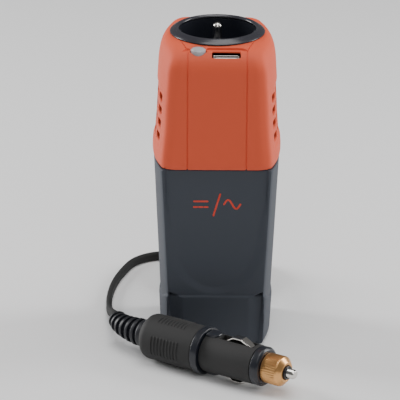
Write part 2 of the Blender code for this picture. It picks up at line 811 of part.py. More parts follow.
def make_power_stage():
    """The upright board with the parts on its front."""
    half = MAIN_BOARD_WIDTH / 2
    low, high = FLOOR_TOP + 0.0015, LOWER_HEIGHT - 0.0020
    box("main_board", (-half, MAIN_BOARD_Y, low), (half, MAIN_BOARD_Y + BOARD_THICKNESS, high), board_green())
    face = MAIN_BOARD_Y - GAP
    cx, cy, cz = CORE_SIZE
    core_low = low + 0.0300
    core = box(
        "transformer_core",
        (-cx / 2, face - cy, core_low),
        (cx / 2, face, core_low + cz),
        material("ferrite", (0.05, 0.05, 0.055), 0.8),
    )
    leg = 0.0060
    window = 0.0045

    def windows(shape):
        for side in (-1, 1):
            x = sorted((side * leg / 2, side * (leg / 2 + window + 0.0010)))
            add_box(shape, (x[0], face - cy - WALL, core_low + leg), (x[1], face + WALL, core_low + cz - leg))

    cut(core, helper("core_windows", mesh_from("core_windows", windows)))
    around = leg / 2 + GAP
    coil_low, coil_high = core_low + leg + GAP, core_low + cz - leg - GAP
    winding = box(
        "transformer_winding",
        (-around - window, face - cy - window, coil_low),
        (around + window, face - 0.0001, coil_high),
        material("winding_copper", (0.6, 0.25, 0.08), 0.35, 1.0),
    )

    def leg_space(shape):
        add_box(shape, (-around, face - cy - GAP, coil_low - WALL), (around, face + WALL, coil_high + WALL))

    cut(winding, helper("winding_space", mesh_from("winding_space", leg_space)))
    can = material("capacitor_sleeve", (0.03, 0.06, 0.12), 0.3)
    for i, x in enumerate((-0.0085, 0.0085)):
        y = face - 0.0062
        cylinder(f"input_capacitor_{i + 1}", 0.0050, (x, y, low + 0.0020), (x, y, low + 0.0240), can)
    z = core_low + cz + 0.0140
    cylinder("bus_capacitor", 0.0080, (0, face, z), (0, face - 0.0240, z), can, 20)
    hx, hy, hz = HEAT_SINK_SIZE
    for i, side in enumerate((-1, 1)):
        x = sorted((side * (half - 0.0030), side * (half - 0.0030 - hx)))
        z = core_low + 0.0010
        sink_y = (face - hy + 0.0040, face)
        sink = material("sink", (0.5, 0.5, 0.5), 0.4, 1.0)
        box(f"heat_sink_{i + 1}", (x[0], sink_y[0], z), (x[1], sink_y[1], z + hz), sink)
        for j in range(2):
            inner = sorted((side * (half - 0.0033 - hx), side * (half - 0.0033 - hx - 0.0022)))
            z_chip = z + 0.0010 + j * 0.0135
            box(
                f"power_transistor_{2 * i + j + 1}",
                (inner[0], sink_y[0] + 0.0005, z_chip),
                (inner[1], sink_y[0] + 0.0105, z_chip + 0.0120),
                black_plastic(),
            )


def back_face(z):
    """Outer surface of the base's flat back at its foot."""
    share = 1 - (z - BASE_HEIGHT) / (LOWER_HEIGHT - BASE_HEIGHT)
    return LOWER_HALF_DEPTH - LOWER_TAPER * share + BASE_PROUD


def make_lead():
    face = back_face(GLAND_Z - 0.006)
    inside = face - WALL - BASE_PROUD - 0.0008
    outside = back_face(GLAND_Z + 0.006) + GAP
    end = outside + GLAND_LENGTH
    flange = GLAND_NECK + 0.0016
    profile = [
        (0.0, end),
        (0.0031, end),
        (0.0046, outside + 0.0020),
        (flange, outside + 0.0016),
        (flange, outside),
        (GLAND_NECK, outside),
        (GLAND_NECK, inside),
        (flange, inside),
        (flange, inside - 0.0016),
        (0.0, inside - 0.0016),
    ]
    gland = turned("cord_gland", profile, black_rubber(), 16)
    gland.rotation_euler = (math.radians(-90), 0.0, 0.0)
    gland.location = (GLAND_X, 0.0, GLAND_Z)
    radius = CORD_DIAMETER / 2
    ring = [
        (COIL_INNER, COIL_HEIGHT),
        (COIL_OUTER, COIL_HEIGHT),
        (COIL_OUTER, 0.0),
        (COIL_INNER, 0.0),
    ]
    coil = turned("cord_coil", ring, black_rubber(), 40)
    coil.location = (0.0, COIL_Y, 0.0)
    tail = [
        (GLAND_X, end + GAP, GLAND_Z),
        (GLAND_X + 0.0005, end + 0.0060, GLAND_Z - 0.0003),
        (0.0192, 0.0640, 0.0205),
        (0.0214, 0.0710, 0.0172),
        (0.0226, 0.0770, 0.0139),
    ]
    tube("cord_tail", smooth_path(tail, 0.0035), radius, black_rubber())
    lead = [
        (-0.0190, 0.0945, radius),
        (-0.0290, 0.0938, radius),
        (-0.0380, 0.0903, radius),
        (-0.0455, 0.0825, radius),
        (-0.0505, 0.0700, radius),
        (-0.0545, 0.0550, radius),
        (-0.0567, 0.0400, radius),
        (-0.0574, 0.0260, radius + 0.0001),
        (-0.0570, 0.0130, radius + 0.0014),
        (-0.0560, 0.0015, 0.0066),
        (-0.0544, -0.0095, 0.0100),
        (-0.0529, -0.0164, 0.0120),
        (-0.0515, -0.0229, 0.0126),
    ]
    tube("cord_lead", smooth_path(lead, 0.0050), radius, black_rubber())


def plug_piece(name, profile, finish, root, steps=24):
    """A turned piece of the plug: heights run along the plug's axis."""
    piece = turned(name, profile, finish, steps)
    piece.parent = root
    return piece


def make_plug():
    root = bpy.data.objects.new("plug_axis", None)
    parts.objects.link(root)
    root.location = PLUG_ORIGIN
    root.rotation_euler = (0.0, math.radians(90), PLUG_TURN)
    collar_start = HANDLE_LENGTH + GAP
    barrel_start = collar_start + COLLAR_LENGTH + GAP
    nose_start = barrel_start + BARREL_LENGTH + GAP
    nut_start = nose_start + NOSE_LENGTH + GAP
    nut_end = nut_start + NUT_LENGTH
    spigot_end = nose_start + NOSE_LENGTH + SPIGOT_LENGTH
    pocket = 0.0080

    plug_piece(
        "plug_handle",
        [
            (0.0, HANDLE_LENGTH - pocket),
            (FUSE_BORE, HANDLE_LENGTH - pocket),
            (FUSE_BORE, HANDLE_LENGTH),
            (HANDLE_RADIUS, HANDLE_LENGTH),
            (HANDLE_RADIUS, 0.0043),
            (HANDLE_RADIUS - 0.0016, 0.0),
            (0.0, 0.0),
        ],
        black_plastic(),
        root,
        28,
    )
    plug_piece(
        "plug_collar",
        [
            (FUSE_BORE, collar_start + COLLAR_LENGTH),
            (COLLAR_RADIUS, collar_start + COLLAR_LENGTH),
            (COLLAR_RADIUS, collar_start),
            (FUSE_BORE, collar_start),
        ],
        black_plastic(),
        root,
        28,
    )
    barrel = plug_piece(
        "plug_barrel",
        [
            (FUSE_BORE, barrel_start + BARREL_LENGTH),
            (BARREL_RADIUS, barrel_start + BARREL_LENGTH),
            (BARREL_RADIUS, barrel_start),
            (FUSE_BORE, barrel_start),
        ],
        black_plastic(),
        root,
        28,
    )
    leaf_start = barrel_start + LEAF_START
    slot_floor = FUSE_BORE + WALL
    slot_half = LEAF_WIDTH / 2 + GAP

    def slots(shape):
        for side in (-1, 1):
            x = sorted((side * slot_floor, side * (BARREL_RADIUS + WALL)))
            add_box(shape, (x[0], -slot_half, leaf_start - 0.0010), (x[1], slot_half, leaf_start + 0.0205))

    slot_tool = helper("leaf_slots", mesh_from("leaf_slots", slots))
    slot_tool.parent = root
    cut(barrel, slot_tool)
    for name, side in (("side_contact_top", -1), ("side_contact_bottom", 1)):
        crest = BARREL_RADIUS + 0.0015
        path = [
            (side * (BARREL_RADIUS - 0.0026), 0.0, leaf_start),
            (side * (BARREL_RADIUS - 0.0014), 0.0, leaf_start + 0.0030),
            (side * crest, 0.0, leaf_start + 0.0080),
            (side * crest, 0.0, leaf_start + 0.0120),
            (side * (BARREL_RADIUS - 0.0016), 0.0, leaf_start + 0.0185),
        ]
        leaf = ribbon(name, path, LEAF_WIDTH, LEAF_THICKNESS, bright_steel())
        leaf.parent = root
    plug_piece(
        "plug_nose_ring",
        [
            (FUSE_BORE, spigot_end),
            (SPIGOT_RADIUS, spigot_end),
            (SPIGOT_RADIUS, nose_start + NOSE_LENGTH),
            (NOSE_RADIUS - 0.0010, nose_start + NOSE_LENGTH),
            (NOSE_RADIUS, nose_start + NOSE_LENGTH - 0.0014),
            (NOSE_RADIUS, nose_start),
            (FUSE_BORE, nose_start),
        ],
        black_plastic(),
        root,
        28,
    )
    cavity_end = spigot_end + GAP
    plug_piece(
        "nose_nut",
        [
            (INSULATOR_RADIUS + GAP, nut_end),
            (NUT_RADIUS - 0.0030, nut_end),
            (NUT_RADIUS, nut_end - 0.0022),
            (NUT_RADIUS, nut_start),
            (SPIGOT_RADIUS + GAP, nut_start),
            (SPIGOT_RADIUS + GAP, cavity_end),
            (INSULATOR_RADIUS + GAP, cavity_end),
        ],
        brass(),
        root,
        28,
    )
    insulator_start = spigot_end + GAP
    plug_piece(
        "tip_insulator",
        [
            (TIP_RADIUS + GAP, nut_end + 0.0010),
            (INSULATOR_RADIUS, nut_end + 0.0010),
            (INSULATOR_RADIUS, insulator_start),
            (TIP_RADIUS + GAP, insulator_start),
        ],
        black_plastic(),
        root,
        20,
    )
    flange_end = insulator_start - GAP
    tip_end = nut_end + TIP_PROUD
    plug_piece(
        "tip_contact",
        [
            (0.0, tip_end),
            (TIP_RADIUS * 0.6, tip_end - 0.0003),
            (TIP_RADIUS, tip_end - 0.0013),
            (TIP_RADIUS, flange_end),
            (FUSE_RADIUS, flange_end),
            (FUSE_RADIUS, flange_end - 0.0015),
            (0.0, flange_end - 0.0015),
        ],
        bright_steel(),
        root,
        16,
    )
    fuse_end = flange_end - 0.0015 - GAP
    plug_piece(
        "plug_fuse",
        [
            (0.0, fuse_end),
            (FUSE_RADIUS, fuse_end),
            (FUSE_RADIUS, fuse_end - FUSE_LENGTH),
            (0.0, fuse_end - FUSE_LENGTH),
        ],
        material("fuse_glass", (0.8, 0.85, 0.85), 0.1),
        root,
        16,
    )
    spring_start = HANDLE_LENGTH - pocket + 0.0006
    spring_end = fuse_end - FUSE_LENGTH - 0.0006
    points = helix((0, 0, spring_start), (0, 0, spring_end), FUSE_RADIUS - 0.0006, 7)
    spring = tube("tip_spring", points, 0.00035, bright_steel())
    spring.parent = root


def make_boot():
    """The ribbed boot bends from the lead round to the plug's axis."""
    back = Vector((-0.0514, -0.0238, PLUG_ORIGIN[2]))
    axis = Vector((math.cos(PLUG_TURN), math.sin(PLUG_TURN), 0.0))
    front = Vector(PLUG_ORIGIN) - axis * GAP
    inward = Vector((0.20, -0.98, 0.0)).normalized()
    span = (front - back).length
    points, radii = [], []
    count = 10
    for i in range(count + 1):
        t = i / count
        h = (2 * t**3 - 3 * t**2 + 1, t**3 - 2 * t**2 + t, -2 * t**3 + 3 * t**2, t**3 - t**2)
        points.append(h[0] * back + h[1] * inward * span + h[2] * front + h[3] * axis * span)
        radii.append((0.0052 + 0.0021 * t) / 0.0052)
    tube("plug_boot", points, 0.0052, black_rubber(), radii, 3)


def main():
    clear_scene()
    make_lower_housing()
    make_top_cover()
    make_base_pad()
    make_screws()
    make_socket()
    make_contacts()
    make_controls()
    make_fan()
    make_power_stage()
    make_lead()
    make_plug()
    make_boot()


main()
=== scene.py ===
"""Finished surfaces of a cup-holder power inverter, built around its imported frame.

Sizes are in millimetres inside the classes, and a mesh is scaled to metres when it is made.
"""

import json
import logging
import math
from dataclasses import dataclass, field
from enum import Enum
from typing import Callable, Optional, Sequence

import bmesh
import bpy
import numpy as np
from mathutils import Matrix, Vector

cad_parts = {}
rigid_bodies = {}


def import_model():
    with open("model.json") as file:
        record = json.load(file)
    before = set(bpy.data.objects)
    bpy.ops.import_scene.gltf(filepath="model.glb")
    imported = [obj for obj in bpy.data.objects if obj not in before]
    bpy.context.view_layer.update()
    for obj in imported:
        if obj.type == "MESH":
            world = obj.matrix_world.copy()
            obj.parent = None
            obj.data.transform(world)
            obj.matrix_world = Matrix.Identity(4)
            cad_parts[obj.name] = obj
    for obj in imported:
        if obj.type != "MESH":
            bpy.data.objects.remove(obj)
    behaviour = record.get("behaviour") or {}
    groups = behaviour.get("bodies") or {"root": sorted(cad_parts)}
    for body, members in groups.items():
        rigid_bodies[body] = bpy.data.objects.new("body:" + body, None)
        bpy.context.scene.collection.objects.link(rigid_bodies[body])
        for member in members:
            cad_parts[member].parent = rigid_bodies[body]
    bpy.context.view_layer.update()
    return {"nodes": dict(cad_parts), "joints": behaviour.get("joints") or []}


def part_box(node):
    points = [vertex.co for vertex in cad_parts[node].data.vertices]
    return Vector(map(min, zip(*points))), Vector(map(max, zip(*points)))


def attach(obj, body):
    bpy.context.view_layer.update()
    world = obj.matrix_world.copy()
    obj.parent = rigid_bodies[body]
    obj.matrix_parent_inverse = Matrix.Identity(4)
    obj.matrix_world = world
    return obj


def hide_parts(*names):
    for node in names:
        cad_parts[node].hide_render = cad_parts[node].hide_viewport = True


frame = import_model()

MM = 0.001
SHELF_Z = 161.3
TAKEN = (0.3, 0.7)
DUST = (0.42, 0.40, 0.37)
EDGES_FROM = 0.53
LOG = logging.getLogger("power_inverter")
Pair = tuple[float, float]
Triple = tuple[float, float, float]
Faces = list[tuple[int, ...]]


# --- Places read from the frame ---------------------------------------------------------


def node_box(node: str) -> tuple[np.ndarray, np.ndarray]:
    """Gives a frame node's box.

    Args:
        node: Name of the node.

    Returns:
        Its lowest and highest corners in millimetres.
    """
    low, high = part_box(node)
    return np.array(low) / MM, np.array(high) / MM


def joint(name: str) -> dict:
    """Finds a joint of the frame by its name."""
    return next(entry for entry in frame["joints"] if entry["name"] == name)


# --- Shader groups ----------------------------------------------------------------------


class ShaderGroup:
    """A node group for materials, with named sockets and one line to add a node."""

    def __init__(self, name: str, inputs: dict[str, float], outputs: Sequence[str]) -> None:
        """Starts an empty group.

        Args:
            name: Name of the group.
            inputs: Each input's name and its default value.
            outputs: Names of the outputs, all of them values.
        """
        self.tree = bpy.data.node_groups.new(name, "ShaderNodeTree")
        for label, default in inputs.items():
            socket = self.tree.interface.new_socket(label, in_out="INPUT", socket_type="NodeSocketFloat")
            socket.default_value = default
        for label in outputs:
            self.tree.interface.new_socket(label, in_out="OUTPUT", socket_type="NodeSocketFloat")
        self.start = self.tree.nodes.new("NodeGroupInput")
        self.end = self.tree.nodes.new("NodeGroupOutput")

    def add(self, kind: str, links: Optional[dict] = None, **settings) -> bpy.types.Node:
        """Adds a node to the group and gives it back."""
        return add_node(self.tree, kind, links, **settings)

    def send(self, label: str, socket: bpy.types.NodeSocket) -> None:
        """Joins a socket to an output of the group."""
        self.tree.links.new(socket, self.end.inputs[label])


def add_node(
    tree: bpy.types.NodeTree, kind: str, links: Optional[dict] = None, **settings
) -> bpy.types.Node:
    """Adds a node to a tree.

    Args:
        tree: The tree.
        kind: Type of the node.
        links: Input name or index to a socket, or to a constant.
        settings: Properties of the node.

    Returns:
        The node.
    """
    node = tree.nodes.new(kind)
    for key, value in settings.items():
        setattr(node, key, value)
    for key, value in (links or {}).items():
        if isinstance(value, bpy.types.NodeSocket):
            tree.links.new(value, node.inputs[key])
        else:
            node.inputs[key].default_value = value
    return node


def maths(
    tree: bpy.types.NodeTree, operation: str, first, second, clamp: bool = False
) -> bpy.types.NodeSocket:
    """Adds a math node.

    Args:
        tree: The tree.
        operation: What it does with the two values.
        first: Socket or constant.
        second: Socket or constant.
        clamp: Keeps the result between 0 and 1.

    Returns:
        The result's socket.
    """
    node = add_node(tree, "ShaderNodeMath", {0: first, 1: second}, operation=operation, use_clamp=clamp)
    return node.outputs[0]


def grain_group() -> bpy.types.NodeTree:
    """Spark-eroded texture of moulded plastic: a fine height and a slow change of tone."""
    group = ShaderGroup("Moulded grain", {"Size": 0.25, "Flow": 1.0}, ["Height", "Tone"])
    place = group.add("ShaderNodeTexCoord").outputs["Object"]
    scale = maths(group.tree, "DIVIDE", 1.0 / MM, group.start.outputs["Size"])
    fine = group.add("ShaderNodeTexNoise", {"Vector": place, "Scale": scale, "Detail": 3.0})
    cells = group.add("ShaderNodeTexVoronoi", {"Vector": place, "Scale": scale})
    slow = group.add("ShaderNodeTexNoise", {"Vector": place, "Scale": 38.0, "Detail": 4.0, "Roughness": 0.6})
    group.send("Height", maths(group.tree, "ADD", fine.outputs["Fac"], cells.outputs["Distance"]))
    group.send("Tone", maths(group.tree, "MULTIPLY", slow.outputs["Fac"], group.start.outputs["Flow"]))
    return group.tree


def wear_group() -> bpy.types.NodeTree:
    """Rubbed edges: a mask that is high on convex edges and broken up by noise."""
    group = ShaderGroup("Edge wear", {"Amount": 0.5, "Start": 0.52}, ["Mask"])
    shape = group.add("ShaderNodeNewGeometry").outputs["Pointiness"]
    width = 0.06
    finish = maths(group.tree, "ADD", group.start.outputs["Start"], width)
    edge = group.add(
        "ShaderNodeMapRange",
        {"Value": shape, "From Min": group.start.outputs["Start"], "From Max": finish},
    )
    place = group.add("ShaderNodeTexCoord").outputs["Object"]
    patches = group.add(
        "ShaderNodeTexNoise", {"Vector": place, "Scale": 420.0, "Detail": 5.0, "Roughness": 0.7}
    )
    broken = maths(group.tree, "MULTIPLY", edge.outputs[0], patches.outputs["Fac"])
    group.send("Mask", maths(group.tree, "MULTIPLY", broken, group.start.outputs["Amount"], clamp=True))
    return group.tree


def dust_group() -> bpy.types.NodeTree:
    """A thin veil of dust on faces that look up."""
    group = ShaderGroup("Settled dust", {"Amount": 0.2}, ["Mask"])
    normal = group.add("ShaderNodeNewGeometry").outputs["Normal"]
    upward = group.add("ShaderNodeSeparateXYZ", {"Vector": normal}).outputs["Z"]
    lying = group.add("ShaderNodeMapRange", {"Value": upward, "From Min": 0.35, "From Max": 1.0})
    place = group.add("ShaderNodeTexCoord").outputs["Object"]
    specks = group.add(
        "ShaderNodeTexNoise", {"Vector": place, "Scale": 900.0, "Detail": 6.0, "Roughness": 0.75}
    )
    contrast = group.add(
        "ShaderNodeMapRange", {"Value": specks.outputs["Fac"], "From Min": 0.4, "From Max": 0.75}
    )
    laid = maths(group.tree, "MULTIPLY", lying.outputs[0], contrast.outputs[0])
    group.send("Mask", maths(group.tree, "MULTIPLY", laid, group.start.outputs["Amount"], clamp=True))
    return group.tree


def brushing_group() -> bpy.types.NodeTree:
    """Fine directional marks of turned or rolled metal."""
    inputs = {"Density": 900.0, "Stretch X": 1.0, "Stretch Y": 1.0}
    group = ShaderGroup("Metal brushing", inputs, ["Height", "Tone"])
    density = group.start.outputs["Density"]
    place = group.add("ShaderNodeTexCoord").outputs["Object"]
    stretch = group.add(
        "ShaderNodeCombineXYZ",
        {"X": group.start.outputs["Stretch X"], "Y": group.start.outputs["Stretch Y"], "Z": 1.0},
    )
    drawn = group.add("ShaderNodeVectorMath", {0: place, 1: stretch.outputs[0]}, operation="MULTIPLY")
    lines = group.add(
        "ShaderNodeTexNoise",
        {"Vector": drawn.outputs[0], "Scale": density, "Detail": 4.0, "Roughness": 0.65},
    )
    stains = group.add("ShaderNodeTexNoise", {"Vector": place, "Scale": 160.0, "Detail": 3.0})
    group.send("Height", lines.outputs["Fac"])
    group.send("Tone", stains.outputs["Fac"])
    return group.tree


class Effects:
    """The shader groups, each built once."""

    made: dict[str, bpy.types.NodeTree] = {}
    makers: dict[str, Callable[[], bpy.types.NodeTree]] = {
        "grain": grain_group,
        "wear": wear_group,
        "dust": dust_group,
        "brushing": brushing_group,
    }

    @classmethod
    def place(cls, tree: bpy.types.NodeTree, name: str, values: dict[str, float]) -> bpy.types.Node:
        """Puts an effect in a material.

        Args:
            tree: The material's node tree.
            name: Key of the effect.
            values: Values of its inputs.

        Returns:
            The group node.
        """
        if name not in cls.made:
            cls.made[name] = cls.makers[name]()
        node = tree.nodes.new("ShaderNodeGroup")
        node.node_tree = cls.made[name]
        for key, value in values.items():
            node.inputs[key].default_value = value
        return node


# --- Finishes ---------------------------------------------------------------------------


def new_material(name: str) -> tuple[bpy.types.Material, bpy.types.NodeTree, bpy.types.Node]:
    """Starts a material.

    Args:
        name: Name of the material.

    Returns:
        The material, its tree and its Principled shader.
    """
    made = bpy.data.materials.new(name)
    made.use_nodes = True
    return made, made.node_tree, made.node_tree.nodes["Principled BSDF"]


def mixed(tree: bpy.types.NodeTree, factor: bpy.types.NodeSocket, low, high) -> bpy.types.NodeSocket:
    """Mixes two colours.

    Args:
        tree: The material's tree.
        factor: Socket that drives the mix.
        low: Colour or socket at 0.
        high: Colour or socket at 1.

    Returns:
        The mixed colour's socket.
    """
    node = tree.nodes.new("ShaderNodeMix")
    node.data_type = "RGBA"
    tree.links.new(factor, node.inputs["Factor"])
    for index, colour in ((6, low), (7, high)):
        if isinstance(colour, bpy.types.NodeSocket):
            tree.links.new(colour, node.inputs[index])
        else:
            node.inputs[index].default_value = (*colour, 1.0)
    return node.outputs[2]


def ranged(
    tree: bpy.types.NodeTree, value: bpy.types.NodeSocket, low: float, high: float, taken: Pair
) -> bpy.types.NodeSocket:
    """Spreads a value over a range.

    Args:
        tree: The material's tree.
        value: Socket that is spread.
        low: Result at the first value taken.
        high: Result at the last value taken.
        taken: First and last value taken.

    Returns:
        The result's socket.
    """
    links = {"Value": value, "From Min": taken[0], "From Max": taken[1], "To Min": low, "To Max": high}
    return add_node(tree, "ShaderNodeMapRange", links).outputs[0]


def raise_grain(shader: bpy.types.Node, height: bpy.types.NodeSocket, strength: float, depth: float) -> None:
    """Raises a surface's fine relief.

    Args:
        shader: The surface's shader.
        height: Socket of the relief.
        strength: How strongly it shows.
        depth: Its depth in millimetres.
    """
    tree = shader.id_data
    bump = add_node(tree, "ShaderNodeBump", {"Height": height, "Strength": strength})
    bump.inputs["Distance"].default_value = depth * MM
    tree.links.new(bump.outputs["Normal"], shader.inputs["Normal"])


@dataclass(frozen=True)
class Plastic:
    """Moulded plastic or rubber, with grain, uneven tone, rubbed edges and a little dust."""

    name: str
    colour: Triple
    roughness: float = 0.42
    spread: float = 0.10
    grain: float = 0.30
    depth: float = 0.010
    wear: float = 0.25
    dust: float = 0.12
    specular: float = 0.5
    coat: float = 0.0

    def build(self) -> bpy.types.Material:
        """Makes the material.

        Returns:
            The material.
        """
        made, tree, shader = new_material(self.name)
        grain = Effects.place(tree, "grain", {"Size": self.grain, "Flow": 1.0})
        wear = Effects.place(tree, "wear", {"Amount": self.wear, "Start": EDGES_FROM})
        dust = Effects.place(tree, "dust", {"Amount": self.dust})
        dark = tuple(c * (1 - self.spread) for c in self.colour)
        light = tuple(min(1.0, c * (1 + self.spread)) for c in self.colour)
        pale = tuple(min(1.0, c * 1.6 + 0.03) for c in self.colour)
        toned = mixed(tree, grain.outputs["Tone"], dark, light)
        rubbed = mixed(tree, wear.outputs["Mask"], toned, pale)
        dusty = mixed(tree, dust.outputs["Mask"], rubbed, DUST)
        tree.links.new(dusty, shader.inputs["Base Color"])
        low, high = max(0.02, self.roughness - 0.05), self.roughness + 0.05
        rough = ranged(tree, grain.outputs["Tone"], low, high, TAKEN)
        duller = maths(tree, "ADD", rough, dust.outputs["Mask"], clamp=True)
        tree.links.new(duller, shader.inputs["Roughness"])
        raise_grain(shader, grain.outputs["Height"], 0.6, self.depth)
        shader.inputs["Specular IOR Level"].default_value = self.specular
        shader.inputs["Coat Weight"].default_value = self.coat
        shader.inputs["Coat Roughness"].default_value = 0.08
        return made


@dataclass(frozen=True)
class Metal:
    """Turned, rolled or plated metal, with fine brushing and a slow tarnish."""

    name: str
    colour: Triple
    tarnish: Triple
    roughness: float = 0.22
    density: float = 900.0
    stretch: Pair = (1.0, 1.0)
    depth: float = 0.006

    def build(self) -> bpy.types.Material:
        """Makes the material.

        Returns:
            The material.
        """
        made, tree, shader = new_material(self.name)
        marks = {"Density": self.density, "Stretch X": self.stretch[0], "Stretch Y": self.stretch[1]}
        brush = Effects.place(tree, "brushing", marks)
        wear = Effects.place(tree, "wear", {"Amount": 0.6, "Start": EDGES_FROM})
        stained = mixed(tree, brush.outputs["Tone"], self.colour, self.tarnish)
        bright = mixed(tree, wear.outputs["Mask"], stained, tuple(min(1.0, c * 1.25) for c in self.colour))
        tree.links.new(bright, shader.inputs["Base Color"])
        low, high = max(0.03, self.roughness - 0.07), self.roughness + 0.08
        rough = ranged(tree, brush.outputs["Height"], low, high, TAKEN)
        tree.links.new(rough, shader.inputs["Roughness"])
        raise_grain(shader, brush.outputs["Height"], 0.5, self.depth)
        shader.inputs["Metallic"].default_value = 1.0
        return made


@dataclass(frozen=True)
class Clear:
    """Clear or milky plastic and glass."""

    name: str
    colour: Triple
    roughness: float = 0.12
    passes: float = 0.6

    def build(self) -> bpy.types.Material:
        """Makes the material.

        Returns:
            The material.
        """
        made, tree, shader = new_material(self.name)
        grain = Effects.place(tree, "grain", {"Size": 0.5, "Flow": 1.0})
        dark = tuple(c * 0.85 for c in self.colour)
        tree.links.new(mixed(tree, grain.outputs["Tone"], dark, self.colour), shader.inputs["Base Color"])
        rough = ranged(tree, grain.outputs["Tone"], self.roughness * 0.7, self.roughness * 1.4, (0.0, 1.0))
        tree.links.new(rough, shader.inputs["Roughness"])
        shader.inputs["Transmission Weight"].default_value = self.passes
        shader.inputs["IOR"].default_value = 1.49
        return made


class Look(Enum):
    """Every finish of the object."""

    COVER = Plastic(
        "cover_orange", (0.560, 0.006, 0.001), 0.40, 0.06, wear=0.06, dust=0.0, depth=0.008, specular=0.14
    )
    HOUSING = Plastic(
        "housing_graphite", (0.009, 0.011, 0.018), 0.30, wear=0.12, dust=0.03, depth=0.005, specular=0.4
    )
    SOCKET = Plastic(
        "socket_graphite", (0.008, 0.010, 0.017), 0.17, wear=0.1, dust=0.02, depth=0.003, specular=0.35
    )
    WELL = Plastic("well_graphite", (0.010, 0.012, 0.019), 0.38, wear=0.10, dust=0.03, depth=0.005)
    PLUG = Plastic("plug_black", (0.012, 0.011, 0.011), 0.42, spread=0.2, wear=0.3, dust=0.03, depth=0.012)
    COLLAR = Plastic("collar_black", (0.010, 0.012, 0.018), 0.30, wear=0.3, dust=0.05, depth=0.006)
    CORD = Plastic("cord_rubber", (0.016, 0.016, 0.018), 0.44, spread=0.15, wear=0.2, dust=0.12, depth=0.010)
    BOOT = Plastic("boot_rubber", (0.006, 0.007, 0.011), 0.40, spread=0.15, wear=0.2, dust=0.02, depth=0.010)
    PAD = Plastic("pad_rubber", (0.018, 0.018, 0.018), 0.75, grain=0.5, depth=0.03, wear=0.3, dust=0.2)
    PRINT = Plastic("badge_print", (0.680, 0.040, 0.012), 0.45, spread=0.05, wear=0.0, dust=0.02, depth=0.004)
    TONGUE = Plastic("tongue_white", (0.030, 0.030, 0.034), 0.35, wear=0.1, depth=0.004)
    INSERT = Plastic("insert_white", (0.68, 0.67, 0.63), 0.40, spread=0.05, wear=0.1)
    FAN = Plastic("fan_black", (0.018, 0.018, 0.019), 0.35)
    BOARD = Plastic("board_green", (0.015, 0.110, 0.045), 0.28, spread=0.25, grain=0.8, wear=0.3, coat=0.4)
    FERRITE = Plastic("ferrite_grey", (0.050, 0.050, 0.055), 0.60, depth=0.02)
    SLEEVE = Plastic("capacitor_sleeve", (0.020, 0.035, 0.090), 0.22, coat=0.3)
    CHIP = Plastic("chip_black", (0.014, 0.014, 0.015), 0.50, depth=0.015)
    BUTTON = Clear("button_grey", (0.30, 0.24, 0.25), 0.18, 0.35)
    LED = Clear("led_clear", (0.80, 0.88, 0.80), 0.08, 0.8)
    GLASS = Clear("fuse_glass", (0.90, 0.93, 0.93), 0.04, 0.95)
    STEEL = Metal("bright_steel", (0.62, 0.62, 0.64), (0.48, 0.47, 0.46), 0.28)
    NICKEL = Metal("nickel_plate", (0.78, 0.76, 0.73), (0.60, 0.57, 0.53), 0.16, 1400.0, depth=0.003)
    COPPER = Metal("copper_nut", (0.84, 0.38, 0.13), (0.66, 0.24, 0.07), 0.24, 700.0, depth=0.004)
    BRASS = Metal("contact_brass", (0.80, 0.58, 0.22), (0.62, 0.42, 0.14), 0.25)
    WINDING = Metal(
        "winding_copper", (0.62, 0.26, 0.08), (0.45, 0.16, 0.05), 0.30, 2500.0, (0.05, 0.05), 0.03
    )
    SINK = Metal("heat_sink", (0.58, 0.58, 0.60), (0.45, 0.45, 0.46), 0.35, 1200.0, (1.0, 0.05))

    def material(self) -> bpy.types.Material:
        """Gives the look's material, made the first time that it is asked for."""
        return bpy.data.materials.get(self.value.name) or self.value.build()


# --- Mesh tools -------------------------------------------------------------------------


def make_piece(
    name: str, points: Sequence, faces: Faces, look: Look, sharp: float = 32.0
) -> bpy.types.Object:
    """Makes a closed mesh object from millimetre points.

    Args:
        name: Name of the piece.
        points: Its vertices, in millimetres.
        faces: Vertex indices of each face.
        look: Its finish.
        sharp: Edges above this angle, in degrees, stay sharp.

    Returns:
        The object, at the origin, its normals outwards.
    """
    mesh = bpy.data.meshes.new(name)
    mesh.from_pydata((np.asarray(points, float) * MM).tolist(), [], faces)
    obj = bpy.data.objects.new(name, mesh)
    bpy.context.scene.collection.objects.link(obj)
    mesh.materials.append(look.material())
    settle(obj, sharp)
    return obj


def settle(obj: bpy.types.Object, sharp: float = 32.0) -> None:
    """Merges doubles, turns the faces outwards and sets smooth shading with sharp edges."""
    shape = bmesh.new()
    shape.from_mesh(obj.data)
    bmesh.ops.remove_doubles(shape, verts=shape.verts, dist=0.002 * MM)
    bmesh.ops.dissolve_degenerate(shape, edges=shape.edges, dist=0.001 * MM)
    bmesh.ops.recalc_face_normals(shape, faces=shape.faces)
    if shape.calc_volume(signed=True) < 0:
        bmesh.ops.reverse_faces(shape, faces=shape.faces)
    shape.to_mesh(obj.data)
    shape.free()
    obj.data.shade_smooth()
    obj.data.set_sharp_from_angle(angle=math.radians(sharp))


def bake(obj: bpy.types.Object) -> bpy.types.Object:
    """Turns an object with modifiers, or a curve, into a plain mesh object of the same name."""
    bpy.context.view_layer.update()
    graph = bpy.context.evaluated_depsgraph_get()
    mesh = bpy.data.meshes.new_from_object(obj.evaluated_get(graph))
    name = obj.name
    placed = obj.matrix_world.copy()
    bpy.data.objects.remove(obj, do_unlink=True)
    made = bpy.data.objects.new(name, mesh)
    mesh.transform(placed)
    bpy.context.scene.collection.objects.link(made)
    return made


